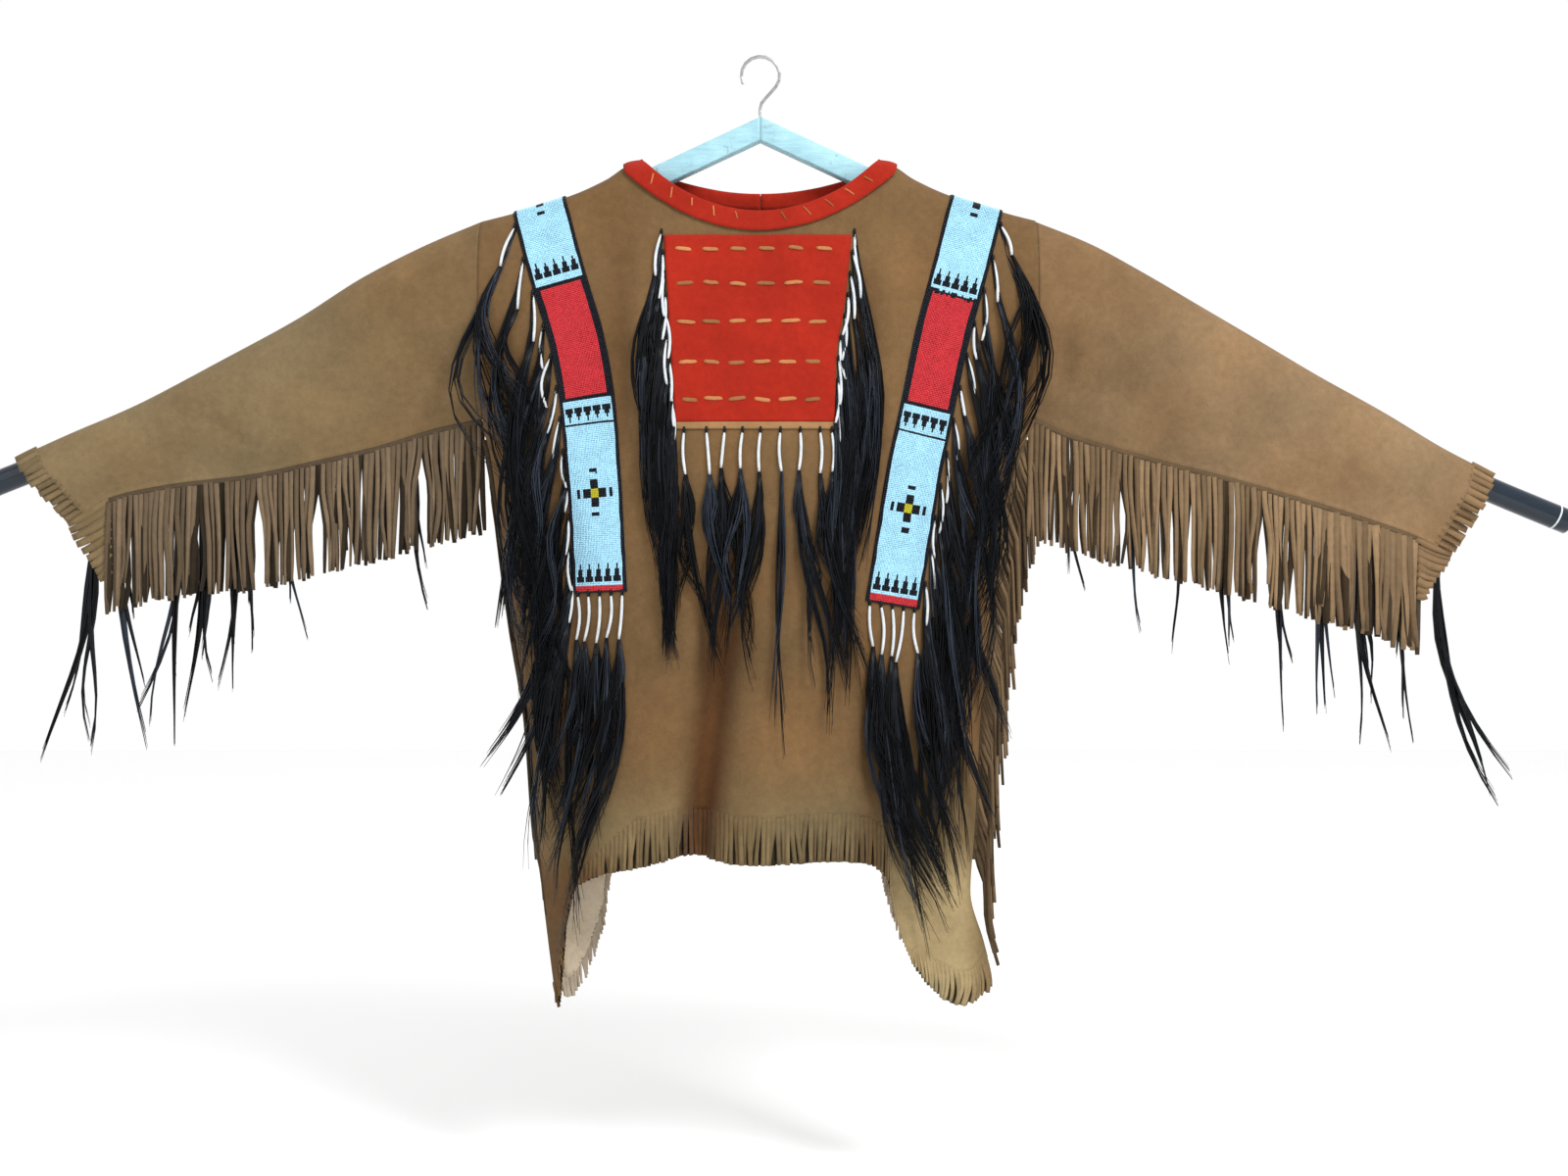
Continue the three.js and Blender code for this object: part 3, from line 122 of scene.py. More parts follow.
STRIPS = {
    # path: down from the shoulder, x
    LEFT: dict(side=LEFT, path=[(0, -251), (95, -224), (152, -207), (222, -194), (292, -187), (370, -182),
                                (440, -179)]),
    RIGHT: dict(side=RIGHT, path=[(0, 246), (97, 220), (152, 205), (235, 187), (313, 171), (382, 160),
                                  (456, 148)]),
}
STRIP_WIDTH = 61.0
LOCK_PITCH, LOCK_FIRST, LOCK_WRAP, LOCK_LENGTH = 37.0, 22.0, 44.0, 262.0
BOARD = dict(apex=-68.5, slope=0.466, end=202.0, height=27.0, depth=18.0)
ROD_RADIUS = 14.0
RODS = {
    LEFT: [(-208, -177), (-282, -199), (-318, -209), (-380, -236), (-455, -274), (-530, -322), (-612, -366),
           (-715, -420), (-800, -457), (-860, -481), (-925, -507)],
    RIGHT: [(208, -177), (282, -199), (314, -209), (375, -235), (438, -269), (564, -342), (700, -421),
            (780, -468), (834, -493), (923, -530)],
}


# ---------------------------------------------------------------- small helpers
def mix(a, b, t):
    return a + (b - a) * t


def smooth(value):
    t = np.clip(value, 0, 1)
    return t * t * (3 - 2 * t)


def curve(xs, ys):
    """A smooth curve through the rows, which never overshoots."""
    xs, ys = np.asarray(xs, float), np.asarray(ys, float)
    slope = np.diff(ys) / np.diff(xs)
    before, after = np.append(slope[0], slope), np.append(slope, slope[-1])
    both = before * after
    tangent = np.where(both <= 0, 0, 2 * both / np.where(before + after == 0, 1, before + after))

    def at(value):
        v = np.clip(value, xs[0], xs[-1])
        i = np.clip(np.searchsorted(xs, v, side="right") - 1, 0, len(slope) - 1)
        step = xs[i + 1] - xs[i]
        t = (v - xs[i]) / step
        rise = t * t * (3 - 2 * t)
        return (mix(ys[i], ys[i + 1], rise) + t * (1 - t) ** 2 * step * tangent[i]
                + t * t * (t - 1) * step * tangent[i + 1])
    return at


def column(rows, by, of):
    return curve([r[by] for r in rows], [r[of] for r in rows])


def hashed(a, b, seed):
    wave = np.sin(a * 127.1 + b * 311.7 + seed * 74.7) * 43758.5453
    return 2 * (wave - np.floor(wave)) - 1


def noise(x, z, size, seed=0):
    """Smooth noise from -1 to 1, with lumps of the given size."""
    x, z = np.asarray(x, float) / size + seed * 17.3, np.asarray(z, float) / size + seed * 9.1
    i, j = np.floor(x), np.floor(z)
    u, v = smooth(x - i), smooth(z - j)
    low = mix(hashed(i, j, seed), hashed(i + 1, j, seed), u)
    high = mix(hashed(i, j + 1, seed), hashed(i + 1, j + 1, seed), u)
    return mix(low, high, v)


def scatter(n, salt=0):
    return float(hashed(n, salt, 5))


def unit(v):
    return v / np.maximum(np.linalg.norm(v, axis=-1, keepdims=True), 1e-9)


# ---------------------------------------------------------------- meshes
def mesh_object(name, points, faces, colours=None):
    """An object from points in millimetres and faces as an array or arrays of equal-sided polygons."""
    mesh = bpy.data.meshes.new(name)
    groups = [np.asarray(g, np.int32) for g in (faces if isinstance(faces, list) else [faces])]
    loops = np.concatenate([g.ravel() for g in groups])
    sizes = np.concatenate([np.full(len(g), g.shape[1], np.int32) for g in groups])
    starts = np.concatenate([[0], np.cumsum(sizes)[:-1]]).astype(np.int32)
    mesh.vertices.add(len(points))
    mesh.vertices.foreach_set("co", (np.asarray(points, float) * MM).ravel())
    mesh.loops.add(len(loops))
    mesh.loops.foreach_set("vertex_index", loops)
    mesh.polygons.add(len(sizes))
    mesh.polygons.foreach_set("loop_start", starts)
    mesh.polygons.foreach_set("use_smooth", np.ones(len(sizes), bool))
    mesh.update(calc_edges=True)
    mesh.validate()
    if colours is not None:
        layer = mesh.color_attributes.new("tint", "FLOAT_COLOR", "POINT")
        rgba = np.ones((len(points), 4))
        rgba[:, :3] = colours
        layer.data.foreach_set("color", rgba.ravel())
    obj = bpy.data.objects.new(name, mesh)
    bpy.context.scene.collection.objects.link(obj)
    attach(obj, "root")
    return obj


def wall_faces(rows, columns, wrapped=False):
    """Quads of a closed wall between two grids, outer then inner, as rows of columns."""
    layer = rows * columns
    last = columns if wrapped else columns - 1
    r, c = np.meshgrid(np.arange(rows - 1), np.arange(last), indexing="ij")
    r, c = r.ravel(), c.ravel()
    n = (c + 1) % columns
    quad = np.stack([r * columns + c, r * columns + n, (r + 1) * columns + n, (r + 1) * columns + c], 1)
    c1 = np.arange(last)
    n1 = (c1 + 1) % columns
    end = (rows - 1) * columns
    parts = [quad, quad[:, ::-1] + layer,
             np.stack([layer + c1, layer + n1, n1, c1], 1),
             np.stack([end + c1, end + n1, layer + end + n1, layer + end + c1], 1)]
    if not wrapped:
        r1 = np.arange(rows - 1) * columns
        parts.append(np.stack([r1, r1 + columns, r1 + columns + layer, r1 + layer], 1))
        r2 = r1 + columns - 1
        parts.append(np.stack([r2 + layer, r2 + columns + layer, r2 + columns, r2], 1))
    return np.concatenate(parts)


def ring_quads(rings, sides):
    """Quads of a tube of rings, each of the same number of points."""
    i, k = [a.ravel() for a in np.meshgrid(np.arange(rings - 1), np.arange(sides), indexing="ij")]
    m = (k + 1) % sides
    return np.stack([i * sides + k, (i + 1) * sides + k, (i + 1) * sides + m, i * sides + m], 1)


def facing_out(points, faces):
    """Turns the faces round if the closed surface that they make is inside out."""
    a = points[faces[:, 0]]
    volume = sum(np.einsum("ij,ij->i", a, np.cross(points[faces[:, i]], points[faces[:, i + 1]])).sum()
                 for i in range(1, faces.shape[1] - 1))
    return faces[:, ::-1] if volume < 0 else faces


def wall_object(name, outer, inner, wrapped=False, colours=None, inner_colours=None):
    rows, columns = outer.shape[:2]
    points = np.concatenate([outer.reshape(-1, 3), inner.reshape(-1, 3)])
    faces = facing_out(points, wall_faces(rows, columns, wrapped))
    tint = None
    if colours is not None:
        inside = colours if inner_colours is None else inner_colours
        tint = np.concatenate([colours.reshape(-1, 3), inside.reshape(-1, 3)])
    return mesh_object(name, points, faces, tint)


class Strands:
    """Many tapered tubes or flat strips gathered into one mesh."""

    def __init__(self):
        self.points, self.quads, self.tris, self.tints, self.count = [], [], [], [], 0

    def add(self, path, wide, thick, sides=3, flat=(0, 1, 0), tint=(1, 1, 1), roll=0.0):
        """path is (n, 3), wide and thick the half sizes, each one number or n of them."""
        path = np.asarray(path, float)
        n = len(path)
        wide, thick = np.broadcast_to(wide, n), np.broadcast_to(thick, n)
        along = unit(np.gradient(path, axis=0))
        flat = np.broadcast_to(np.asarray(flat, float), (n, 3))
        across = unit(np.cross(along, flat))
        deep = np.cross(across, along)
        if sides == 4:
            section = np.array([(1, 1), (-1, 1), (-1, -1), (1, -1)], float)
        else:
            turn = np.arange(sides) * 2 * np.pi / sides + 0.5
            section = np.stack([np.cos(turn), np.sin(turn)], 1)
        roll = np.broadcast_to(roll, n)[:, None]
        a = section[None, :, 0] * wide[:, None]
        b = section[None, :, 1] * thick[:, None]
        a, b = a * np.cos(roll) - b * np.sin(roll), a * np.sin(roll) + b * np.cos(roll)
        ring = path[:, None] + a[..., None] * across[:, None] + b[..., None] * deep[:, None]
        start = self.count
        self.points.append(ring.reshape(-1, 3))
        self.quads.append(start + ring_quads(n, sides))
        fan = np.array([(0, j, j + 1) for j in range(1, sides - 1)])
        self.tris += [start + fan, start + (n - 1) * sides + fan[:, ::-1]]
        self.tints.append(np.broadcast_to(np.asarray(tint, float), (n * sides, 3)))
        self.count += n * sides

    def make(self, name):
        faces = [np.concatenate(self.quads), np.concatenate(self.tris)]
        return mesh_object(name, np.concatenate(self.points), faces, np.concatenate(self.tints))


# ---------------------------------------------------------------- the garment's surfaces
ridge_of = curve(*zip(*SHOULDER))
left_side, right_side = column(SIDES, 0, 1), column(SIDES, 0, 2)


def ridge(x):
    return ridge_of(np.abs(x)) - HIDE / 2


def side_at(side, z):
    return np.where(np.asarray(side) < 0, left_side(z) + SEAM / 2, right_side(z) - SEAM / 2)


def teardrop(h):
    h = np.clip(h, 0, 1)
    return 2.6 * np.sqrt(h) * (1 - h) ** 1.1


def fold_depth(folds, x, z):
    total = np.zeros(np.broadcast(x, z).shape)
    for fx, fz, ex, ez, width, depth in folds:
        t = (fz - z) / (fz - ez)
        away = (x - mix(fx, ex, t)) / width
        fade = smooth(t * 2.5) * (1 if ez < HEM_Z + 80 else smooth((1 - t) * 2.5))
        total = total + depth * fade * np.exp(-away * away)
    return total


# Finer creases than the solids have, by the way a panel faces: x, z, end x, end z, width, depth.
CREASES = {
    -1: [(-118, -150, -120, -300, 4, -1.6), (-150, -168, -140, -330, 6, -1.8),
         (112, -160, 108, -330, 5, -1.6), (-100, -560, -60, -900, 9, -2.5),
         (-40, -470, -30, -640, 7, -1.6), (64, -520, 70, -860, 12, 1.8),
         (-190, -600, -176, -840, 9, -2.2), (176, -640, 160, -900, 9, -2.0), (8, -620, 26, -900, 9, -1.8),
         (-262, -430, -236, -600, 8, -2.6), (262, -430, 232, -620, 8, -2.4), (100, -470, 96, -760, 7, -1.4)],
    1: [(-118, -150, -120, -300, 4, -1.6), (112, -160, 108, -330, 5, -1.6), (-100, -520, -76, -860, 9, -2.4),
        (84, -500, 66, -860, 10, -2.2), (20, -430, 30, -700, 9, -1.6), (-30, -600, -40, -880, 8, -1.8),
        (-262, -430, -236, -600, 8, -2.6), (262, -430, 232, -620, 8, -2.4)],
}


def relief(face, x, z):
    """Small unevenness of the hide, fading towards the seams."""
    side = np.where(x < 0, LEFT, RIGHT)
    across = np.minimum(np.abs(x / side_at(side, z)), 1)
    below = np.maximum(ridge(x) - z, 0)
    seed = face["seed"]
    lumps = (1.5 * noise(x, z * 0.55, 58, seed) + 0.75 * noise(x + z * 0.15, z * 0.7, 24, seed + 3)
             + 0.28 * noise(x, z, 9, seed + 6))
    return (lumps + fold_depth(CREASES[face["toward"]], x, z)) * (1 - across ** 8) * smooth(below / 30)


def body_depth(face, x, z):
    side = np.where(x < 0, LEFT, RIGHT)
    across = np.minimum(np.abs(x / side_at(side, z)), 1)
    below = np.maximum(ridge(x) - z, 0)
    square = np.where(x < 0, HEM_SQUARE[LEFT], HEM_SQUARE[RIGHT])
    edge = across ** mix(SIDE_ROUND, square, smooth((WAIST_Z - z) / (WAIST_Z - HEM_Z)))
    curl = np.sqrt(RIDGE_RADIUS ** 2 - np.maximum(RIDGE_RADIUS - below, 0) ** 2)
    chest = curl + (face["depth"] - RIDGE_RADIUS) * smooth(below / 300)
    h = below / ARM_DROP
    arm = np.maximum((ARM_DEPTH - HIDE / 2) * teardrop(h), np.where(h > 0.5, HIDE / 2, 0))
    folds = fold_depth(face["folds"], x, z) * (1 - across ** 6) * smooth(below / 60)
    return mix(chest, arm, edge) + folds


def surface(face, x, z):
    """The middle of a panel's wall."""
    x, z = np.broadcast_arrays(np.asarray(x, float), np.asarray(z, float))
    y = face["toward"] * (body_depth(face, x, z) + SEAM / 2 + relief(face, x, z))
    return np.stack([x, y, z], -1)


def normal(face, x, z, reach=2.0):
    x, z = np.broadcast_arrays(np.asarray(x, float), np.asarray(z, float))
    top = np.minimum(z + reach, ridge(x))
    along = surface(face, x + reach, top - reach) - surface(face, x - reach, top - reach)
    down = surface(face, x, z - reach) - surface(face, x, top)
    return unit(np.cross(along, down) * face["toward"])


def above(face, x, z, distance):
    return surface(face, x, z) + normal(face, x, z) * np.asarray(distance)[..., None]


def neckline(face, x):
    share = np.minimum(np.abs(x) / NECK_HALF, 1) ** 2
    return mix(face["neck_z"], ridge(NECK_HALF), share)


# ---------------------------------------------------------------- body panels
class Panel:
    """A panel's places by u, from -1 to 1 across it, and hang, from 0 below the shoulder to 1 at the hem."""

    def __init__(self, face):
        self.face = face
        self.hem_x, self.hem_z = column(face["hem"], 0, 1), column(face["hem"], 0, 2)
        self.border = {side: (float(side_at(side, SIDES_TOP)), float(self.hem_x(side)))
                       for side in (LEFT, RIGHT)}

    def place(self, u, hang, curl=1.0):
        u, hang, curl = np.broadcast_arrays(np.asarray(u, float), hang, curl)
        side = np.where(u < 0, LEFT, RIGHT)
        top_x = u * np.abs(side_at(side, SIDES_TOP))
        on_shoulder = np.abs(u) * ARMHOLE > NECK_END
        top_z = np.where(on_shoulder, ridge(top_x), neckline(self.face, top_x))
        hem_x, hem_z = self.hem_x(u), self.hem_z(u)
        drop = RIDGE_RADIUS * (1 - np.cos(curl * np.pi / 2))
        z = mix(top_z - drop, hem_z, hang)
        share = (top_z - z) / (top_z - hem_z)
        edge_top, edge_hem = [np.where(side < 0, self.border[LEFT][i], self.border[RIGHT][i]) for i in (0, 1)]
        away = side_at(side, z) - mix(edge_top, edge_hem, share)
        return mix(top_x, hem_x, share) + np.abs(u) ** 3 * away, z

    def points(self, u, x, z, distance, top_row=False):
        """Places moved out from the middle of the wall, flush along the seams."""
        middle = surface(self.face, x, z)
        out = normal(self.face, x, z)
        u = np.broadcast_to(u, x.shape)
        at_side = np.abs(u) > 0.9999
        out[..., 0] = np.where(at_side, 0, out[..., 0])
        out[..., 2] = np.where(at_side & (ridge(x) - z > ARM_DROP * 0.9), 0, out[..., 2])
        if top_row:
            first = np.abs(u[0]) * ARMHOLE > NECK_END
            out[0][first] = (0, 0, 1)
        point = middle + unit(out) * distance
        clear = self.face["toward"] * SEAM / 2
        y = point[..., 1]
        point[..., 1] = np.minimum(y, clear) if clear < 0 else np.maximum(y, clear)
        return point


# How deep the hem is cut into strips, by the way a panel faces and by u across it.
HEM_CUTS = {
    -1: curve([-1, -0.9, -0.75, -0.6, -0.5, -0.42, 0.5, 0.56, 0.64, 0.8, 0.86, 1],
              [26, 24, 17, 15, 34, 52, 52, 40, 4, 4, 34, 38]),
    1: curve([-1, -0.6, -0.5, 0.5, 0.6, 1], [22, 20, 46, 46, 20, 22]),
}


def hide_colour(x, z, base, seed):
    """The smoked hide's colour: blotches of paler and darker brown."""
    blot = (noise(x, z, 95, seed + 11) * 0.5 + noise(x, z, 38, seed + 12) * 0.3
            + noise(x, z, 15, seed + 13) * 0.2)
    shade = 1 + 0.11 * blot
    warm = 1 + 0.045 * noise(x, z, 70, seed + 14)
    return np.stack([base[0] * shade * warm, base[1] * shade, base[2] * shade / warm], -1)


BODY_HIDE = (0.140, 0.080, 0.034)
HEM_HIDE = (0.150, 0.105, 0.050)
TAB_HIDE = (0.324, 0.254, 0.134)
# warm rust brown: the left tab's own colour, and painted shade in the fold valleys
RUST_TAB_AND_FOLD_SHADE = (0.084, 0.037, 0.013)
INNER_HIDE = (0.50, 0.41, 0.30)


def body_colour(face, x, z):
    base = hide_colour(x, z, BODY_HIDE, face["seed"])
    hem = hide_colour(x, z, HEM_HIDE, face["seed"])
    low = smooth((-760 - z) / 130)[..., None]
    tab = hide_colour(x, z, TAB_HIDE, face["seed"])
    right_tab = (smooth((x - 120) / 50) * smooth((-880 - z) / 60) * smooth((262 - x) / 40))[..., None]
    colour = mix(mix(base, hem, low), tab, right_tab * 0.8)
    # Painted shade: the fold valleys darken towards the rust brown, which the left tab also takes as its own
    # colour.
    fold_shade = np.clip(-fold_depth(face["folds"], x, z) / 24, 0, 1)
    left_tab = smooth((-880 - z) / 60) * smooth((-150 - x) / 40)
    rust_tab_and_fold_shade = np.clip(np.maximum(fold_shade * 1.2, left_tab * 0.7), 0, 1)[..., None]
    return mix(colour, hide_colour(x, z, RUST_TAB_AND_FOLD_SHADE, face["seed"]), rust_tab_and_fold_shade)


CURL_ROWS = 8  # rows of a panel's grid that turn over its top edge
HEM_PITCH = 5.2
HEM_OVERLAP = 3.0  # how far above the cut a strip starts
STRIP_HALF = 1.03  # a strip's half thickness, a little over the hide's


def body_panel(name, face, columns, rows):
    """A panel's sheet down to where its hem is cut, and the strips that the hem is cut into."""
    panel = Panel(face)
    u = np.linspace(-1, 1, columns)[None, :]
    length = panel.place(u, 0.0)[1] - panel.place(u, 1.0)[1]
    cut = 1 - HEM_CUTS[face["toward"]](u) / length
    curl = np.concatenate([np.arange(CURL_ROWS) / CURL_ROWS, np.ones(rows)])[:, None]
    hang = np.concatenate([np.zeros(CURL_ROWS), np.linspace(0, 1, rows)])[:, None] * cut
    x, z = panel.place(u, hang, curl)
    outer, inner = [panel.points(u, x, z, half, True) for half in (HIDE / 2, -HIDE / 2)]
    shown, hidden = body_colour(face, x, z), hide_colour(x, z, INNER_HIDE, face["seed"])
    at_edge = smooth((np.abs(u) - 0.94) / 0.04)[..., None]
    sheet = wall_object(name, outer, inner, colours=shown, inner_colours=mix(hidden, shown, at_edge))
    return sheet, hem_strips(name.replace("panel", "hem_fringe"), panel)


def hem_strips(name, panel, steps=9):
    face = panel.face
    strands = Strands()
    fine = np.linspace(-1, 1, 900)
    edge_x, edge_z = panel.place(fine, 1.0)
    walk = np.concatenate([[0], np.cumsum(np.hypot(np.diff(edge_x), np.diff(edge_z)))])
    count = int(walk[-1] / HEM_PITCH)
    middles = np.interp((np.arange(count) + 0.5) * walk[-1] / count, walk, fine)
    for k, at in enumerate(middles):
        here = np.clip(at, -0.994, 0.994)
        depth = float(HEM_CUTS[face["toward"]](here))
        whole = float(panel.place(here, 0.0)[1] - panel.place(here, 1.0)[1])
        near, far = [panel.place(here + d, 1.0) for d in (-0.004, 0.004)]
        broad = np.clip(float(np.abs(far[0] - near[0])) / 0.008 * float(np.gradient(middles)[k]), 2.4, 6.0)
        steep = np.clip(1 / np.abs(normal(face, *panel.place(here, 1.0))[1]), 1, 1.7)
        broad = broad * float(steep)
        loose = depth > 8
        ragged = 0.0008 * scatter(k, face["seed"]) if loose else 0
        xs, zs = panel.place(here, np.linspace(1 - (depth + HEM_OVERLAP) / whole, 1 + ragged, steps))
        s = np.linspace(0, 1, steps)
        free = np.clip((s - 0.3 - 0.25 * scatter(k, 26)) * 1.5, 0, 1) * min(depth / 40, 1) * loose
        path = panel.points(here, xs, zs, 0.0)
        path[:, 0] += free * (3.0 * scatter(k, 21) + 2.4 * scatter(k, 28) ** 3)
        path[:, 1] += free * (2.8 * scatter(k, 22) + face["toward"] * 0.4)
        tone = body_colour(face, xs, zs) * (1 + 0.26 * scatter(k, 23) * np.minimum(free * 3, 1))[:, None]
        # of a strip's four edges the first two are outside and the others inside
        tints = np.repeat(tone[:, None], 4, axis=1)
        if face is BACK and abs(here) > 0.4:
            tints[:, 2:] = np.array(INNER_HIDE) * 0.7
        wide = mix(broad * 0.53, broad * (0.43 + 0.06 * scatter(k, 24)), np.minimum(free * 2, 1))
        out = normal(face, xs, zs)
        strands.add(path, wide, STRIP_HALF, sides=4, flat=out, tint=tints.reshape(-1, 3),
                    roll=free * 0.8 * scatter(k, 25))
        if face is FRONT and loose:
            # a strip behind, its outside painted dark as shade, that shows through the slits
            shade_strip = panel.points(here, xs, zs, -2.6)[2:]
            shade = np.repeat(tone[2:, None], 4, axis=1) * 0.22
            shade[:, 2:] = np.array(INNER_HIDE) * 0.8
            strands.add(shade_strip, broad * (0.62 + 0.1 * scatter(k, 27)), 0.5, sides=4, flat=out[2:],
                        tint=shade.reshape(-1, 3))
    return strands.make(name)


# ---------------------------------------------------------------- sleeves
class Sleeve:
    def __init__(self, sleeve):
        self.sleeve = sleeve
        rows = sleeve["sections"]
        self.last = len(rows) - 1
        self.columns = [curve(range(len(rows)), [r[i] for r in rows]) for i in range(5)]
        low = sorted(rows, key=lambda r: r[2])
        self.seam = curve([r[2] for r in low], [r[3] for r in low])

    def at(self, share, turn, thickness=0.0):
        """A point of the sleeve, share along it, turn from -pi to pi round it from the seam."""
        top_x, top_z, seam_x, seam_z, depth = [c(share * self.last) for c in self.columns]
        top_z = top_z - thickness
        seam_z = seam_z + (SEAM_ALLOWANCE if thickness else 0)
        h = (1 - np.cos(turn)) / 2
        z = mix(top_z, seam_z, h)
        side = self.sleeve["side"]
        x = mix(top_x, seam_x, (top_z - z) / (top_z - seam_z)) + side * SEAM / 2
        ends = smooth(h * 3) * smooth((1 - h) * 3)
        front = np.where(turn < 0, 0, 40)
        lumps = (1.3 * noise(x * 0.8, z + front, 46, self.sleeve["seed"])
                 + 0.7 * noise(x + z * 0.3, z + front, 21, self.sleeve["seed"] + 5)
                 + 0.25 * noise(x, z + front, 9, self.sleeve["seed"] + 7)) * ends * smooth(share * 14)
        soft = fold_depth(self.sleeve["folds"], x, z) * ends + lumps
        half = (depth - thickness) * teardrop(h) + soft
        half = np.maximum(half, np.where(h > 0.5, (2.2 - thickness) * smooth((1 - h) * 40), 0))
        return np.stack([x, -np.sign(turn) * half, z], -1)


SLEEVE_HIDE = {LEFT: (0.178, 0.124, 0.062), RIGHT: (0.205, 0.129, 0.066)}
CUFF_CUT = 30.0


def sleeve_colour(sleeve, share, x, z):
    tint = hide_colour(x, z, SLEEVE_HIDE[sleeve["side"]], sleeve["seed"])
    # Painted shade: towards the body the sleeve darkens into the body's brown, the left sleeve more. The
    # right sleeve also runs darker near the body and lighter towards its end.
    shade_near_body = smooth((0.44 - share + 0.05 * noise(x, z, 60, 4)) / 0.3)[..., None]
    shade_near_body = shade_near_body * (0.6 if sleeve["side"] < 0 else 0.4)
    if sleeve["side"] > 0:
        tint = tint * mix(0.86, 1.12, smooth(share))[..., None]
    return mix(tint, hide_colour(x, z, BODY_HIDE, sleeve["seed"]), shade_near_body)


def sleeve_object(name, sleeve, along=130, round_steps=64, strips=26):
    """The sleeve, and the strips that its end is cut into."""
    shape = Sleeve(sleeve)
    ends = sleeve["sections"][0], sleeve["sections"][-1]
    cut = 1 - CUFF_CUT / math.hypot(ends[1][0] - ends[0][0], ends[1][1] - ends[0][1])
    share = np.linspace(0, cut, along)[:, None]
    turn = (2 * np.pi * np.arange(round_steps) / round_steps - np.pi)[None, :]
    outer, inner = shape.at(share, turn), shape.at(share, turn, HIDE)
    x, z = outer[..., 0], outer[..., 2]
    tint = sleeve_colour(sleeve, share, x, z)
    sheet = wall_object(name, outer, inner, wrapped=True, colours=tint)
    strands = Strands()
    for k in range(strips):
        height = (k % (strips // 2) + 0.5) / (strips // 2)
        face_turn = (np.arccos(1 - 2 * height)) * (1 if k < strips // 2 else -1)
        s = np.linspace(cut - 0.008, 1 + 0.006 * scatter(k, 61), 7)
        path = (shape.at(s, face_turn) + shape.at(s, face_turn, HIDE)) / 2
        free = np.linspace(0, 1, 7) ** 1.4
        path[:, 2] -= free * (1.2 + 1.2 * scatter(k, 62))
        path[:, 1] += free * 1.6 * scatter(k, 63) + free * np.sign(path[:, 1]) * 1.2
        out = np.stack([0 * s, np.sign(path[:, 1]), 0 * s], -1)
        tone = sleeve_colour(sleeve, s, path[:, 0], path[:, 2]).mean(0) * (0.95 + 0.16 * scatter(k, 64))
        strands.add(path, mix(4.4, 3.9 + 0.25 * scatter(k, 66), free), 0.8, sides=4, flat=out, tint=tone,
                    roll=free * 0.6 * scatter(k, 65))
    return sheet, strands.make(name.replace("hide", "cuff_fringe"))


# ---------------------------------------------------------------- collar and bib
BAND_WALL = 1.7
BIB_GAP, BIB_WALL = 0.3, 1.6


def near_shoulder(x):
    """0 along the middle of the neck, rising to 1 close to its ends."""
    return float(smooth((abs(x) - 92) / 36))


def band_clear(x):
    """How far the neck band stands off the hide, more towards the shoulders."""
    return mix(1.2, 2.4, near_shoulder(x))


def collar_section(face, x, turn):
    """The neck band's outer and inner outline at x. Turn is 0 along the neck and 1 over the shoulder."""
    side = 1 if x >= 0 else -1
    slope = float(neckline(face, x + 1) - neckline(face, x - 1)) / 2
    away = unit(np.array([slope, -1.0]))
    clear = band_clear(x)
    near, far = HIDE / 2 + clear, HIDE / 2 + clear + BAND_WALL
    inside = mix(17.0, 4.0, near_shoulder(x))
    rim = -clear - BAND_WALL

    def place(w):
        px = mix(x + away[0] * w, x + side * w, turn)
        pz = mix(float(neckline(face, x)) + away[1] * w, float(ridge(px)), turn)
        return px, min(pz, float(ridge(px)))

    def at(w, distance):
        px, pz = place(max(w, 0))
        past = np.array([place(w)[0] - px, 0, away[1] * w if w < 0 else 0])
        if turn == 1:
            return np.array([px, 0, float(ridge(px)) + distance]) + past
        return above(face, px, pz - 0.05, distance) + past

    legs = np.linspace(21 * (1 - 0.26 * turn ** 2), 0, 6)
    outer = [(w, far) for w in legs] + [(rim * 0.7, far * 0.75), (rim, 0), (rim * 0.7, -far * 0.75)]
    outer += [(w, -far) for w in np.linspace(0, inside, 4)]
    inner = [(w, near) for w in legs] + [(-clear * 0.7, near * 0.7), (-clear, 0), (-clear * 0.7, -near * 0.7)]
    inner += [(w, -near) for w in np.linspace(0, inside, 4)]
    return np.array([at(*c) for c in outer]), np.array([at(*c) for c in inner])


def collar_object():
    back = np.concatenate([[0.3], np.linspace(5, 132, 26)])
    turns = [0.0, 0.2, 0.4, 0.6, 0.8]
    stations = [(BACK, x, 0.0) for x in back]
    stations += [(BACK, NECK_END, t) for t in turns]
    stations += [(FRONT, NECK_END, 1.0)] + [(FRONT, NECK_END, t) for t in turns[::-1]]
    stations += [(FRONT, x, 0.0) for x in np.linspace(132, -132, 53)]
    stations += [(FRONT, -NECK_END, t) for t in turns + [1.0]] + [(BACK, -NECK_END, t) for t in turns[::-1]]
    stations += [(BACK, -x, 0.0) for x in back[::-1]]
    made = [collar_section(*s) for s in stations]
    return wall_object("neck_band", np.array([m[0] for m in made]), np.array([m[1] for m in made]))


bib_left, bib_right = curve(*zip(*BIB_LEFT)), curve(*zip(*BIB_RIGHT))


def bib_object(name, top, bottom, rows, columns=60):
    z = np.linspace(top, bottom, rows)[:, None]
    x = mix(bib_left(z), bib_right(z), np.linspace(0, 1, columns)[None, :])
    z = z * np.ones_like(x)
    ripple = 0.35 * noise(x, z, 17, 8) + 0.5 * noise(x, z, 42, 9)
    low = HIDE / 2 + BIB_GAP
    outer = above(FRONT, x, z, low + BIB_WALL + ripple)
    return wall_object(name, outer, above(FRONT, x, z, np.full(x.shape, low)))


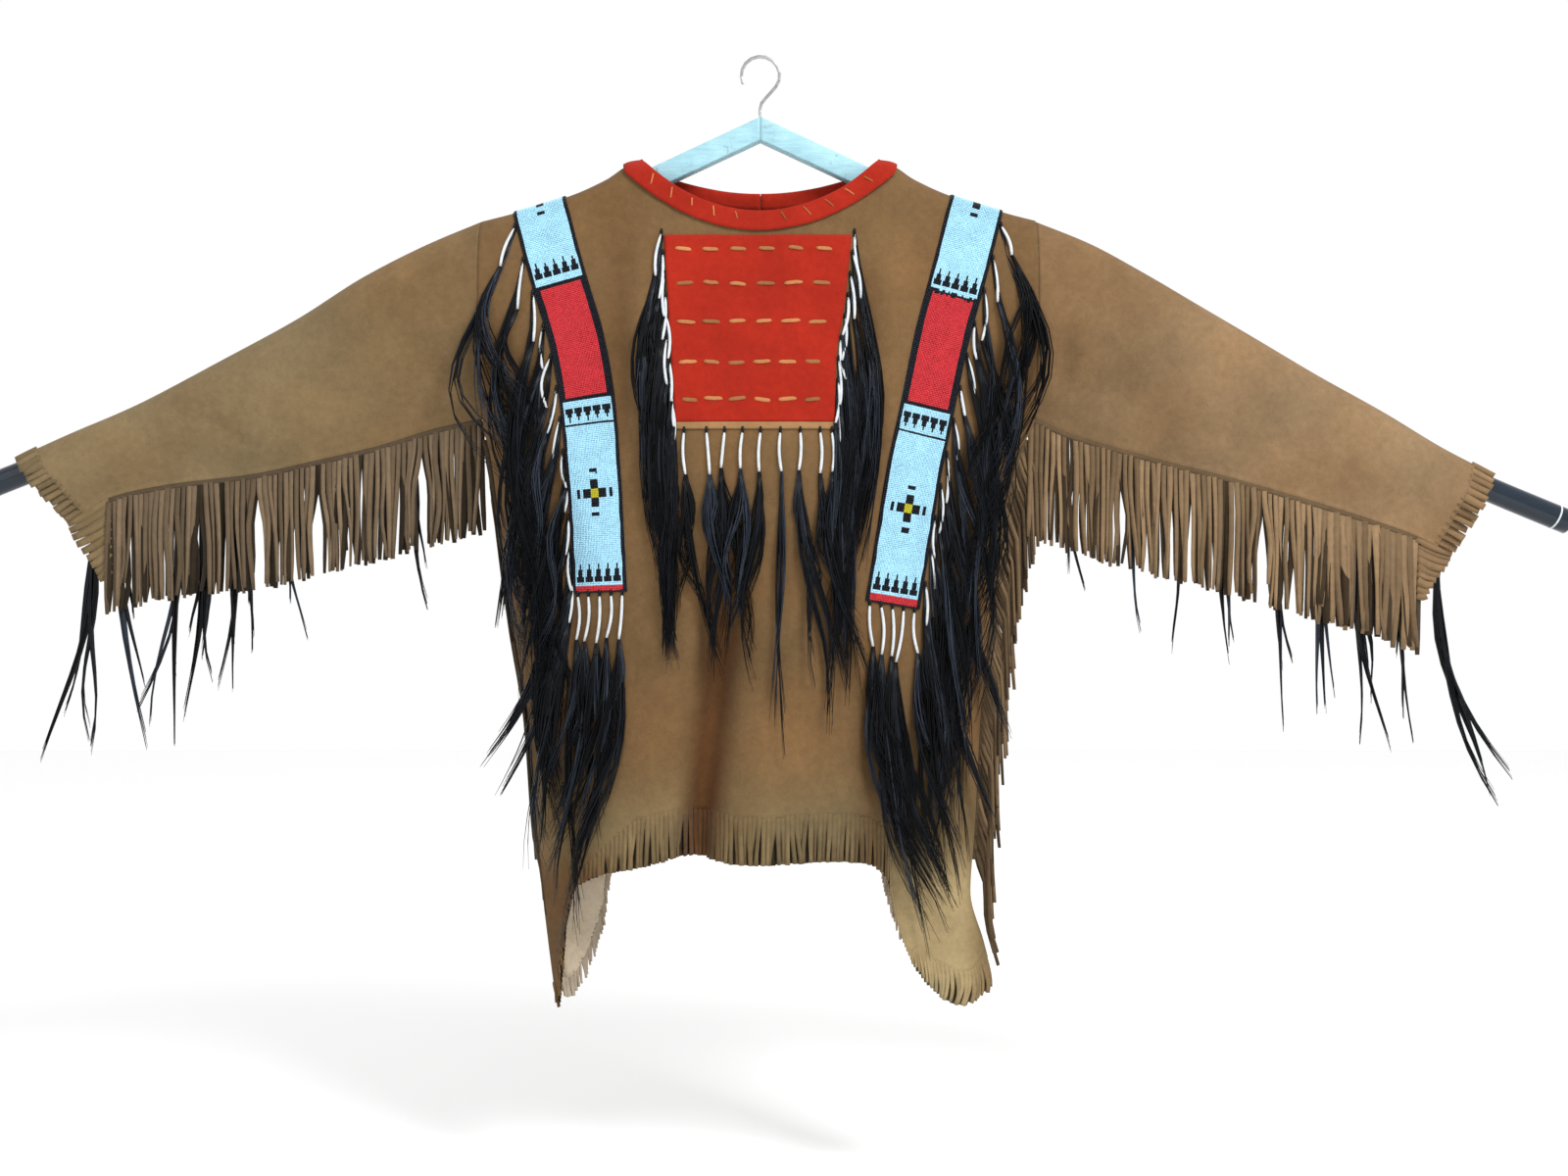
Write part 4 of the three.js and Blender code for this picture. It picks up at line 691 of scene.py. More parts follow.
# ---------------------------------------------------------------- beaded strips
class Strip:
    def __init__(self, strip):
        self.side = strip["side"]
        self.middle = curve(*zip(*strip["path"]))
        self.end = float(strip["path"][-1][0])
        self.start_z = float(ridge(self.middle(0)))
        slope = float(ridge(self.middle(0) + 20) - ridge(self.middle(0) - 20)) / 40
        self.level = unit(np.array([1.0, slope]))

    def place(self, down, w):
        """(x, z) down from the shoulder, and w across from the strip's middle line."""
        down, w = np.broadcast_arrays(np.asarray(down, float), np.asarray(w, float))
        near = np.clip(down, 8, self.end)
        lean = (self.middle(near) - self.middle(near - 8)) / 8
        along = unit(np.stack([lean, -np.ones_like(lean)], -1))
        steady = np.stack([-along[..., 1], along[..., 0]], -1)
        across = unit(mix(self.level, steady, smooth(down / 90)[..., None]))
        x = self.middle(down) + lean * np.maximum(down - self.end, 0) + across[..., 0] * w
        hung = self.start_z - down + across[..., 1] * w
        return x, np.minimum(mix(ridge(x) - down, hung, smooth(down / 60)), ridge(x))

    def downs(self, pitch):
        """Distances down that lie a pitch apart along the cloth."""
        down = np.linspace(0, self.end, 1200)
        x, z = self.place(down, 0.0)
        points = surface(FRONT, x, z)
        walk = np.concatenate([[0], np.cumsum(np.linalg.norm(np.diff(points, axis=0), axis=1))])
        return np.interp(np.arange(0, walk[-1], pitch), walk, down)


SKY, BLACK = (0.41, 0.73, 0.90), (0.006, 0.008, 0.014)
RED, YELLOW = (0.56, 0.034, 0.044), (0.50, 0.46, 0.02)
LANES = 35  # beads across a strip
# Where each band of the beaded pattern starts, down from the shoulder. The cross's middle is at "cross".
BANDS = {
    LEFT: dict(shoulder_cross=-10, tips=66, teeth=83, block=91, block_end=223, light=232, hung=247, line=251,
               cross=328, low_tips=408, low_teeth=428, red=432, end=438),
    RIGHT: dict(shoulder_cross=-6, tips=83, teeth=101, block=106, block_end=236, light=244, hung=260,
                line=265, cross=348, low_tips=422, low_teeth=442, red=446, end=453),
}


def bead_colours(bands, down, w):
    """The pattern's colour at each bead, from its distance down and its place across."""
    half = STRIP_WIDTH / 2
    colour = np.zeros(down.shape + (3,)) + SKY
    across = np.abs(w)

    def paint(where, tone):
        colour[where] = tone

    def teeth(tip, base):
        share = np.clip((down - tip) / (base - tip), 0, 1)
        pitch = 6 * STRIP_WIDTH / LANES
        from_middle = np.abs(w - pitch * np.clip(np.round(w / pitch), -2, 2))
        inside = (np.minimum(tip, base) <= down) & (down < np.maximum(tip, base))
        return inside & (from_middle < np.where(share < 0.3, 0.9, np.where(share < 0.65, 2.7, 4.4)))

    def cross(middle):
        d = down - middle
        paint(((np.abs(d) < 5.0) & (across < 12.8)) | ((across < 4.6) & (np.abs(d) < 15.5)), BLACK)
        paint((np.abs(d) < 5.2) & (across < 4.6), YELLOW)
        paint((across < 4.6) & (np.abs(np.abs(d) - 24.0) < 2.2), BLACK)
        paint((np.abs(d) < 5.2) & (np.abs(across - 18.5) < 2.2), BLACK)

    cross(bands["cross"])
    cross(bands["shoulder_cross"])
    paint(teeth(bands["tips"], bands["teeth"]), BLACK)
    paint(teeth(bands["low_tips"], bands["low_teeth"]), BLACK)
    paint(teeth(bands["hung"], bands["light"]), BLACK)
    paint((bands["block"] <= down) & (down < bands["block_end"]), BLACK)
    paint((bands["block"] + 4 <= down) & (down < bands["block_end"] - 4) & (across < half - 7.5), RED)
    paint(np.abs(down - bands["line"]) < 1.1, BLACK)
    paint((bands["red"] <= down) & (down < bands["end"]), RED)
    paint(down >= bands["end"], BLACK)
    paint(across > half - 3.1, BLACK)
    return colour


BEAD_POINTS = np.array([(1, 1, 0), (-1, 1, 0), (-1, -1, 0), (1, -1, 0), (0, 0, 1), (0, 0, -1)], float)
BEAD_FACES = np.array([(0, 1, 4), (1, 2, 4), (2, 3, 4), (3, 0, 4),
                       (1, 0, 5), (2, 1, 5), (3, 2, 5), (0, 3, 5)])
BEAD_SHAPE = (0.87, 1.0, 0.62)  # half its width, length and height
BEAD_PITCH, BEAD_LIFT = 2.05, 1.7
BACKING_LOW, BACKING_HIGH = 0.3, 1.25  # above the hide


def beads_object(name, strip):
    """Every seed bead of a strip, an eight-sided grain each, with its own colour."""
    shape = Strip(strip)
    downs = shape.downs(BEAD_PITCH)
    step = STRIP_WIDTH / LANES
    all_points, all_faces, all_tints, count = [], [], [], 0
    for face in (FRONT, BACK):
        rows = downs if face is FRONT else downs[1:]
        d, w = np.meshgrid(rows, (np.arange(LANES) + 0.5) * step - STRIP_WIDTH / 2, indexing="ij")
        k = np.arange(d.size).reshape(d.shape)
        d = np.clip(d + 0.12 * hashed(k, 1, 7), 0.2, shape.end)
        x, z = shape.place(d, w + 0.08 * hashed(k, 2, 7) + 0.5 * noise(d, d * 0, 14, 3))
        out = normal(face, x, z)
        centre = surface(face, x, z) + out * (HIDE / 2 + BEAD_LIFT + 0.08 * hashed(k, 3, 7))[..., None]
        right_x, right_z = shape.place(d, w + 1.0)
        wide = unit(surface(face, right_x, right_z) - surface(face, x, z))
        long = np.cross(out, wide)
        size = 1 + 0.05 * hashed(k, 4, 7)
        local = BEAD_POINTS * BEAD_SHAPE
        points = (centre[..., None, :] + size[..., None, None] * (
            local[:, 0, None] * wide[..., None, :] + local[:, 1, None] * long[..., None, :]
            + local[:, 2, None] * out[..., None, :]))
        n = d.size
        tint = bead_colours(BANDS[shape.side], d, w) * (1 + 0.05 * hashed(k, 5, 7))[..., None]
        all_points.append(points.reshape(-1, 3))
        all_faces.append((BEAD_FACES[None] + count + 6 * np.arange(n)[:, None, None]).reshape(-1, 3))
        all_tints.append(np.repeat(tint.reshape(-1, 3), 6, axis=0))
        count += 6 * n
    return mesh_object(name, np.concatenate(all_points), np.concatenate(all_faces), np.concatenate(all_tints))


def strip_backing(name, strip, rows=115, columns=24):
    """The thin hide under the beads, over the shoulder from the front's end to the back's."""
    shape = Strip(strip)
    downs = shape.downs(1.0)
    downs = np.interp(np.linspace(0, len(downs) - 1, rows), np.arange(len(downs)), downs)
    w = np.linspace(-1, 1, columns) * (STRIP_WIDTH / 2 + 0.6)
    grids = []
    for distance in (HIDE / 2 + BACKING_HIGH, HIDE / 2 + BACKING_LOW):
        sides = []
        for face in (FRONT, BACK):
            d, ww = np.meshgrid(downs, w, indexing="ij")
            x, z = shape.place(d, ww)
            points = above(face, x, z, np.full(x.shape, distance))
            points[0] = np.stack([x[0], 0 * x[0], ridge(x[0]) + distance], -1)
            sides.append(points)
        grids.append(np.concatenate([sides[0][::-1], sides[1][1:]]))
    d, ww = np.meshgrid(downs, w, indexing="ij")
    # the bead pattern's colours at half brightness, as painted shade in the gaps between the beads
    half = bead_colours(BANDS[shape.side], d, ww) * 0.5
    tints = np.concatenate([half[::-1], half[1:]])
    below = np.zeros_like(tints) + INNER_HIDE
    return wall_object(name, grids[0], grids[1], colours=tints, inner_colours=below)


# ---------------------------------------------------------------- hair locks
LOCK_BLACK = np.array((0.007, 0.009, 0.013))
# How hair hangs: its wave, its clumps' thickness, its shortest hair, its fray and a hair's half width.
LOCK = dict(wave=1, belly=1, shortest=0.8, fray=2.2, thick=1.15)
WISP = dict(wave=0.3, belly=0.9, shortest=0.95, fray=0.5, thick=2.1)


def wrap_and_hair(wraps, hairs, root, wrap_end, guide, seed, bow=0.0, clumps=5, spread=9.0, shrink=0.35,
                  beside=2, kind=LOCK):
    """One lock: a white-wrapped cord from root to wrap_end, then clumps of hair along the path guide."""
    root, wrap_end = np.asarray(root, float), np.asarray(wrap_end, float)
    t = np.linspace(0, 1, 9)[:, None]
    cord = mix(root, wrap_end, t) + np.array([1.0, 0, 0]) * bow * np.sin(t * np.pi)
    radius = np.array([1.0, 1.6, 1.75, 1.75, 1.75, 1.75, 1.75, 1.65, 1.2])
    wraps.add(cord, radius, radius, sides=7)
    stub = np.array([root + (0, 0, 5.5), root + (0, 0, 2.5), cord[0] - (0, 0, 2.0)])
    hairs.add(stub, [1.3, 1.9, 1.4], [1.3, 1.9, 1.4], sides=5, tint=(0.004, 0.005, 0.007))
    rng = np.random.default_rng(seed)
    steps = len(guide)
    s = np.linspace(0, 1, steps)
    for c in range(clumps + beside):
        early = c >= clumps
        turn = 2 * np.pi * (c + rng.uniform(0, 0.8)) / clumps
        away = np.array([np.cos(turn), 0.5 * np.sin(turn), 0]) * rng.uniform(0.2, 1.0) * spread
        reach = rng.uniform(0.5, 1.14)
        curl = rng.choice((-1, 1)) * rng.uniform(0.4, 1) * spread * 1.5
        start = root - (0, 0, 2.0) if early else guide[0]
        middle = guide[0] + (guide - guide[0]) * reach
        if early:
            middle = mix(start, middle, smooth(s * 3.5)[:, None])
            middle[:, 2] = np.minimum(middle[:, 2], mix(start[2], guide[-1, 2], s))
        if kind is WISP:
            drift = (s ** 2.4)[:, None] * away * 1.1
        else:
            drift = smooth(s * 1.4)[:, None] * away * mix(1, shrink, smooth((s - 0.5) / 0.5))[:, None]
        bend = np.sin(s * np.pi * rng.uniform(0.9, 2.2) + rng.uniform(0, 1.5)) * s * curl * kind["wave"]
        middle = middle + drift + np.stack([bend, 0.25 * bend, 0 * s], -1)
        belly = mix(1.2, rng.uniform(2.6, 6.0) * kind["belly"], smooth(s * 3))
        belly = belly * mix(1, 0.08, smooth((s - 0.3) / 0.7))
        # each clump's own darkness, a few clumps raised as a painted bluish highlight
        tone_and_highlight = LOCK_BLACK * rng.choice((0.15, 0.3, 0.5, 0.8, 2.8))
        for _ in range(9):
            angle, far = rng.uniform(0, 2 * np.pi), rng.uniform(0.05, 1) ** 0.6
            offset = np.array([np.cos(angle), 0.7 * np.sin(angle), 0]) * far
            path = middle + offset * belly[:, None]
            path = path[0] + (path - path[0]) * mix(1, rng.uniform(kind["shortest"], 1.04), s)[:, None]
            fray = rng.normal(0, kind["fray"]) * s ** 3
            path = path + np.stack([fray, 0.4 * fray, 0 * s], -1)
            thick = mix(kind["thick"], 0.22, s ** 1.6)
            hairs.add(path, thick, thick, sides=3, tint=tone_and_highlight * rng.uniform(0.5, 1.5))


def hanging_path(face, start, sway, length, steps=10, stand=6.0):
    """A path that hangs from start over a panel and stays clear of it."""
    s = np.linspace(0, 1, steps)
    z = start[2] - length * s
    x = start[0] + sway(s, z)
    cloth = surface(face, x, z)[:, 1]
    toward = face["toward"]
    off = np.minimum.accumulate(cloth) if toward < 0 else np.maximum.accumulate(cloth)
    y = off + toward * mix(3.0, stand, smooth(s * 2))
    y = mix(start[1], y, smooth(s * 3))
    return np.stack([x, y, z], -1)


def cord_ends(face, x, z, dx, dz, root_off=1.6, end_off=4.2):
    """Where a cord is sewn on at (x, z), and where it ends, dx aside and dz below."""
    root = above(face, x, z, np.array(HIDE / 2 + root_off))
    return root, above(face, float(x) + dx, float(z) - dz, np.array(HIDE / 2 + end_off))


# How each wrapped cord hangs down a strip's edge: aside and down from its root, and how far it is bowed.
STRIP_WRAPS = {
    LEFT: [(-15, 45, -3), (-6, 54, -1), (1, 53, 2), (0, 46, -3), (-3, 56, -8), (-9, 49, 2), (-7, 48, -2),
           (5, 38, -3), (-6, 36, 4), (-3, 41, 2), (2, 45, -3), (-3, 44, 2)],
    RIGHT: [(11, 34, 3), (5, 48, 2), (-3, 54, 4), (1, 38, -2), (7, 49, 3), (4, 30, 0), (1, 46, 4),
            (-2, 53, 2), (-3, 51, 3), (-2, 44, -3), (3, 52, 2), (0, 44, 2)],
}
END_WRAPS = {
    LEFT: [(-1, 50, 3), (-4, 52, 3), (-2, 54, 2), (-4, 49, 3), (-3, 51, 1)],
    RIGHT: [(3, 47, -2), (0, 54, 3), (-1, 54, 2), (-9, 59, 2), (3, 47, -3)],
}


# How far a strip's hair swings out at its first and its last lock, and the end's hair sideways.
STRIP_BULGE = {LEFT: (50.0, 27.0), RIGHT: (50.0, 12.0)}
END_DRIFT = {LEFT: -28, RIGHT: 52}


def strip_locks(side, face, wraps, hairs):
    """The locks down a strip's outer edge, then those across its end."""
    shape = Strip(STRIPS[side])
    aside = 2.5
    count = int((shape.end - LOCK_FIRST) / LOCK_PITCH) + 1
    on_back = face is BACK
    seed = 50 if on_back else 0
    for i, (dx, dz, bow) in enumerate(STRIP_WRAPS[side][:count]):
        x, z = shape.place(LOCK_FIRST + i * LOCK_PITCH, side * (STRIP_WIDTH / 2 + aside))
        root, wrap_end = cord_ends(face, x, z, dx, dz)
        share = i / (count - 1)
        bulge = side * mix(*STRIP_BULGE[side], share ** 0.7)
        gather = side * mix(-52, 8, smooth(share * 1.5))
        length = (LOCK_LENGTH - LOCK_WRAP) * (1.14 + 0.12 * scatter(i, side))
        sway = lambda s, z: bulge * np.sin(s * np.pi * 0.75) + gather * s * s
        guide = hanging_path(face, wrap_end, sway, length, stand=7 + 2.5 * (i % 3))
        wrap_and_hair(wraps, hairs, root, wrap_end, guide, 100 * (side + 2) + i + seed, bow=bow,
                      clumps=4 if on_back else 5, spread=13.0, shrink=0.6)
    for i, (dx, dz, bow) in enumerate(END_WRAPS[side]):
        x, z = shape.place(shape.end + aside, mix(-0.84, 0.84, i / 4) * STRIP_WIDTH / 2)
        root, wrap_end = cord_ends(face, x, z, dx, dz)
        length = (LOCK_LENGTH - LOCK_WRAP) * (1.25 + 0.14 * scatter(i, side + 3))
        sway = lambda s, z: END_DRIFT[side] * smooth(s - 0.1) * s + (2 - i) * 4 * s * s
        guide = hanging_path(face, wrap_end, sway, length, stand=9)
        wrap_and_hair(wraps, hairs, root, wrap_end, guide, 700 + 10 * side + i + seed, bow=bow, clumps=6,
                      spread=15.0, shrink=0.35, beside=0)


# Bunches that leave the locks and cross the side seam: start x, start z, end x, end z, bow.
STRAYS = {
    LEFT: [(-256, -470, -299, -656, -9), (-262, -510, -291, -640, -8), (-244, -664, -318, -812, 5),
           (-238, -690, -294, -838, 5)],
    RIGHT: [(236, -650, 284, -776, 5), (222, -760, 266, -868, 4)],
}


def stray_hair(hairs):
    for side, rows in STRAYS.items():
        for k, (x, z, end_x, end_z, bow) in enumerate(rows):
            rng = np.random.default_rng(900 + 10 * side + k)
            s = np.linspace(0, 1, 10)
            start = above(FRONT, float(x), float(z), np.array(9.0))
            for _ in range(18):
                far = rng.normal(0, 3.0, 2)
                reach = rng.uniform(0.72, 1.0)
                xs = mix(x, end_x, (s * reach) ** 1.3) + bow * np.sin(s * np.pi) + far[0] * (1.2 - 0.7 * s)
                zs = mix(z, end_z, s * reach) + far[1]
                ys = start[1] - 3 * s + 0.5 * far[1]
                thick = mix(1.3, 0.25, s ** 1.5)
                hairs.add(np.stack([xs, ys, zs], -1), thick, thick,
                          tint=np.array((0.006, 0.007, 0.010)) * rng.uniform(0.4, 1.6))


BIB_WRAPS = {
    LEFT: [(-5, 50, -3), (-3, 52, 2), (1, 48, -2), (-2, 50, 2), (3, 47, 3), (0, 52, -3), (3, 46, 2),
           (4, 50, 0), (2, 47, 3)],
    RIGHT: [(7, 55, -2), (9, 50, 3), (3, 50, 2), (-7, 45, 3), (-4, 49, 3), (4, 46, -3), (1, 50, 2),
            (-3, 46, 3), (2, 44, 2)],
}
# The locks along the bib's foot: x, and how far the tip is swept aside.
BIB_FOOT = [(-84, 22), (-59, 22), (-39, 0), (-19, 0), (1, -22), (23, 0), (45, 44), (67, 44), (80, 14)]
LONE_LOCK = 5  # the thin one among them
BIB_LOCK, LONE_LENGTH = 232, 290


def bib_locks(wraps, hairs):
    for side, edge in ((LEFT, bib_left), (RIGHT, bib_right)):
        for i, (dx, dz, bow) in enumerate(BIB_WRAPS[side]):
            z = mix(BIB_TOP + 4, BIB_BOTTOM - 2, (i + 0.1) / 9)
            x = float(edge(np.array(z))) + side * 2.8
            root, wrap_end = cord_ends(FRONT, x, z, dx, dz, 1.8, 4.0 + 0.9 * (i % 2))
            length = BIB_LOCK * (1.04 + 0.16 * scatter(i, 43 + side))
            bulge = side * mix(18.0, 4.0, i / 9)
            sway = lambda s, z: bulge * np.sin(s * np.pi)
            guide = hanging_path(FRONT, wrap_end, sway, length, stand=6 + i % 3)
            wrap_and_hair(wraps, hairs, root, wrap_end, guide, 300 + 20 * side + i, bow=bow, clumps=4,
                          spread=6.5, shrink=0.8)
    for i, (x, sweep) in enumerate(BIB_FOOT):
        lone = i == LONE_LOCK
        root, wrap_end = cord_ends(FRONT, float(x), BIB_BOTTOM - BIB_EDGE - 3, 4 * scatter(i, 47),
                                   LOCK_WRAP + 6 * scatter(i, 48), 1.8, 4.0)
        length = LONE_LENGTH if lone else (225 if i < 6 else 250) * (1 + 0.12 * scatter(i, 50))
        guide = hanging_path(FRONT, wrap_end, lambda s, z: sweep * s ** 1.6, length, stand=8 + 2 * (i % 2))
        wrap_and_hair(wraps, hairs, root, wrap_end, guide, 400 + i, bow=2.6 * scatter(i, 51),
                      clumps=2 if lone else 5, spread=5 if lone else 13.0, shrink=0.9, beside=0)


def sleeve_locks(sleeve, wraps, hairs):
    shape = Sleeve(sleeve)
    for i, (x, length, sway) in enumerate(sleeve["locks"]):
        z = float(shape.seam(np.array(x))) - 8
        root = np.array([x, 6.0, z])
        long = length > 250
        s = np.linspace(0, 1, 10)
        guide = np.stack([x + sway * s ** 2, 8 + 3 * np.sin(s * 3), z - 8 - length * s], -1)
        wrap_and_hair(wraps, hairs, root, root - (0, -1, 9), guide, 500 + 40 * sleeve["side"] + i,
                      clumps=4 if long else 3, spread=30.0 if long else 13.0, beside=0, kind=WISP)


# ---------------------------------------------------------------- fringes
FRINGE_TONE = {LEFT: (0.128, 0.090, 0.054), RIGHT: (0.172, 0.112, 0.060)}
# Where the sleeves' fringe parts: x, half the gap, and how far down it opens.
PARTINGS = {
    LEFT: [(-573, 8, 0.2), (-504, 7, 0.5), (-387, 9, 0.25), (-640, 4, 0.4)],
    RIGHT: [(411, 6, 0.4), (575, 7, 0.35), (601, 5, 0.3), (470, 3, 0.3)],
}
FRINGE_MISSING, FRINGE_SHORT = 0.06, 0.08  # the shares of strips that are lost or cut short


def sleeve_fringe(name, sleeve, count=70):
    """Two layers of strips below a sleeve's seam, the wider ones behind painted dark as shade between the
    strips.
    """
    shape = Sleeve(sleeve)
    start, stop, drop = sleeve["fringe"]
    strands = Strands()
    side = sleeve["side"]
    xs = np.linspace(min(start, stop), max(start, stop), 60)
    tone = np.array(FRINGE_TONE[side])
    # a dark band along the seam, its painted shadow
    strands.add(np.stack([xs, 0 * xs, shape.seam(xs) - 1.4], -1), 2.8, 0.9, sides=4, tint=tone * 0.6)
    rng = np.random.default_rng(60 + side)
    for layer in (0, 1):
        for i in range(count):
            at = (i + 0.5 * layer) / (count - 0.5)
            x = mix(start, stop, at)
            far = at if side > 0 else 1 - at
            if rng.uniform() < FRINGE_MISSING:
                continue
            z = float(shape.seam(np.array(x))) - 0.5
            length = (drop - 4) * rng.uniform(0.96, 1.02)
            length = length * (rng.uniform(0.75, 1) if rng.uniform() < FRINGE_SHORT else 1)
            s = np.linspace(0, 1, 8)
            lean, wave = rng.normal(0, 3.2), rng.uniform(-3.2, 3.2)
            y = (0.5 - layer) * -2.6 * smooth(s * 4) + rng.normal(0, 2.2) * s
            aside = lean * s ** 1.5 + wave * np.sin(s * np.pi * rng.uniform(0.8, 2.4)) * (0.4 + 0.6 * s)
            for gap, half, opens in PARTINGS[side]:
                push = max(0.0, 1 - abs(x - gap) / (half * 2.6)) * half * (1 if x > gap else -1)
                aside = aside + push * smooth((s - opens * 0.4) / 0.45)
            path = np.stack([x + aside, y, z - length * s], -1)
            wide = rng.uniform(2.2, 3.1) * (1.5 if far > 0.75 and side > 0 else 1)
            wide = wide * (1.35 if layer else 1)
            # the layer behind is painted dark, as shade in the gaps between the strips in front
            shade = tone * rng.uniform(0.7, 1.4) * (0.2 if layer else 1.0)
            strands.add(path, wide * np.array([1, 1, 1, 1, 1, 0.97, 0.9, 0.6]), 0.75, sides=4, tint=shade,
                        roll=rng.uniform(-0.9, 0.9) * smooth(s * 1.6))
    cuff_flap(strands, shape, np.array(SLEEVE_HIDE[side]))
    return strands.make(name)


def cuff_flap(strands, shape, tone):
    """The uncut end of the fringe at the cuff, its outer edge cut into strips."""
    side = shape.sleeve["side"]
    inner_x, outer_x, drop = shape.sleeve["flap"]
    count = 9
    for k in range(count):
        t = (k + 0.5) / count
        inner_z, outer_z = [float(shape.seam(np.array(float(x)))) for x in (inner_x, outer_x)]
        root = np.array([inner_x, 0.4 * (k % 2), inner_z + 4 - (drop + 5) * t])
        edge_x = mix(outer_x, inner_x + side * 9, smooth(t * 0.9))
        edge_z = outer_z + 6 - (drop - 13) * t
        tip = np.array([edge_x, 1.5 * scatter(k, 71), edge_z])
        s = np.linspace(0, 1, 6)[:, None]
        path = mix(root, tip, s) - np.array([0, 0, 2.0]) * np.sin(s * np.pi)
        strands.add(path, mix(drop / count * 0.62, 3.7, s[:, 0]), 0.8, sides=4,
                    tint=tone * (0.95 + 0.12 * scatter(k, 72)), roll=0.15 * scatter(k, 73))


# The side seams' fringe: its root's top and low end, how long it hangs, and how far it stands off the seam.
SIDE_TOP, SIDE_LOW, SIDE_LENGTH = -436.0, -915.0, 128.0
SIDE_REACH = {LEFT: 1.5, RIGHT: 12.0}
# How much each side's fringe is darkened, as painted shade, the left more.
SIDE_SHADE = {LEFT: 0.38, RIGHT: 0.55}
SIDE_ROOT = 2.4


def side_fringe(name, side, count=58):
    """The strips sewn into a side seam. The left ones lie close along the edge, the right ones stand off."""
    strands = Strands()
    # the fringe's colour darkened as painted shade
    tone = np.array(FRINGE_TONE[side]) * SIDE_SHADE[side]
    zs = np.linspace(SIDE_TOP, SIDE_LOW, 60)

    def edge_x(z):
        return float(side_at(side, z))

    reach = SIDE_REACH[side]
    root = np.stack([[edge_x(z) + side * SIDE_ROOT for z in zs], 0 * zs, zs], -1)
    strands.add(root, 3.3, 0.9, sides=4, tint=tone)
    rng = np.random.default_rng(80 + side)
    for layer in (0, 1):
        for i in range(count):
            z = mix(SIDE_TOP - 4, SIDE_LOW + 7, (i + 0.5 * layer) / count)
            length = SIDE_LENGTH * rng.uniform(0.8, 1.08)
            s = np.linspace(0, 1, 8)
            below = z - length * s
            hung = edge_x(z) + side * (4 + reach * 0.8 * smooth(s * 3))
            outline = np.array([edge_x(b) for b in below]) + side * reach * 0.6
            close = outline + side * mix(3.2, -3.5, smooth((-880 - below) / 60))
            x = np.maximum(hung, outline) if side > 0 else close
            x = mix(edge_x(z) + side * SIDE_ROOT, x, smooth(s * 5))
            x = x + side * np.abs(rng.normal(0, reach * 0.3)) * s
            y = (layer - (0.5 if side > 0 else -0.4)) * 3 * smooth(s * 4) + rng.normal(0, 3.5) * s
            wide = rng.uniform(1.9, 2.9)
            shade = tone * rng.uniform(0.35, 1.9)
            strands.add(np.stack([x, y, below], -1), mix(wide, wide * 0.7, s), 0.75, sides=4, tint=shade,
                        roll=rng.uniform(-1.2, 1.2) * smooth(s * 1.6))
    return strands.make(name)


# ---------------------------------------------------------------- sewing
def stitch(strands, face, xs, zs, height, wide, sides, tint):
    strands.add(above(face, xs, zs, height), wide, 0.6, sides=sides, flat=normal(face, xs, zs), tint=tint)


STITCH_ROWS = -224, -264, -308, -354, -395
STITCH_PLACES = 0.10, 0.245, 0.395, 0.55, 0.705, 0.86  # across the bib


def bib_dashes(name):
    """The rows of running stitches on the bib."""
    strands = Strands()
    t = np.linspace(-1, 1, 9)
    lift = np.sqrt(np.maximum(1 - t ** 6, 0)) * 1.1 - 0.5
    wide = 2.0 * np.sqrt(np.maximum(1 - (t * 0.96) ** 4, 0)) + 0.3
    for j, z in enumerate(STITCH_ROWS):
        for i, share in enumerate(STITCH_PLACES):
            k = j * len(STITCH_PLACES) + i
            x = mix(float(bib_left(np.array(z))), float(bib_right(np.array(z))), share)
            xs = x + (9.5 + 1.2 * scatter(k, 81)) * t
            zs = z + 0.8 * scatter(k, 82) + 1.2 * scatter(k, 83) * t + 0.35 * noise(xs, xs * 0, 5, k % 7)
            tint = np.array((0.33, 0.135, 0.050)) * (1 + 0.3 * scatter(k, 84))
            stitch(strands, FRONT, xs, zs, HIDE / 2 + BIB_GAP + BIB_WALL + lift, wide, 8, tint)
    return strands.make(name)


def neck_stitches(name):
    """Thong stitches that lace the neck band down."""
    strands = Strands()
    lift = np.sqrt(np.maximum(1 - np.linspace(-1, 1, 7) ** 4, 0)) * 0.9 - 0.5
    for face, span in ((FRONT, 128.0), (BACK, 126.0)):
        walk = np.linspace(-span, span, 400)
        length = np.concatenate([[0], np.cumsum(np.hypot(np.diff(walk), np.diff(neckline(face, walk))))])
        count = int(length[-1] / 24)
        for k, x in enumerate(np.interp((np.arange(count) + 0.5) * length[-1] / count, length, walk)):
            if abs(x) < 6:
                continue
            slope = float(neckline(face, x + 1) - neckline(face, x - 1)) / 2
            away, along = unit(np.array([slope, -1.0])), unit(np.array([1.0, slope]))
            w = np.linspace(1.5, 11.5 + 2 * scatter(k, 91), 7)
            slant = (w - 6) * 0.45
            xs = x + away[0] * w + along[0] * slant
            zs = float(neckline(face, x)) + away[1] * w + along[1] * slant
            tint = np.array((0.38, 0.12, 0.045)) * (1 + 0.4 * scatter(k, 92))
            stitch(strands, face, xs, zs, HIDE / 2 + band_clear(x) + BAND_WALL + lift, 1.0, 6, tint)
    return strands.make(name)


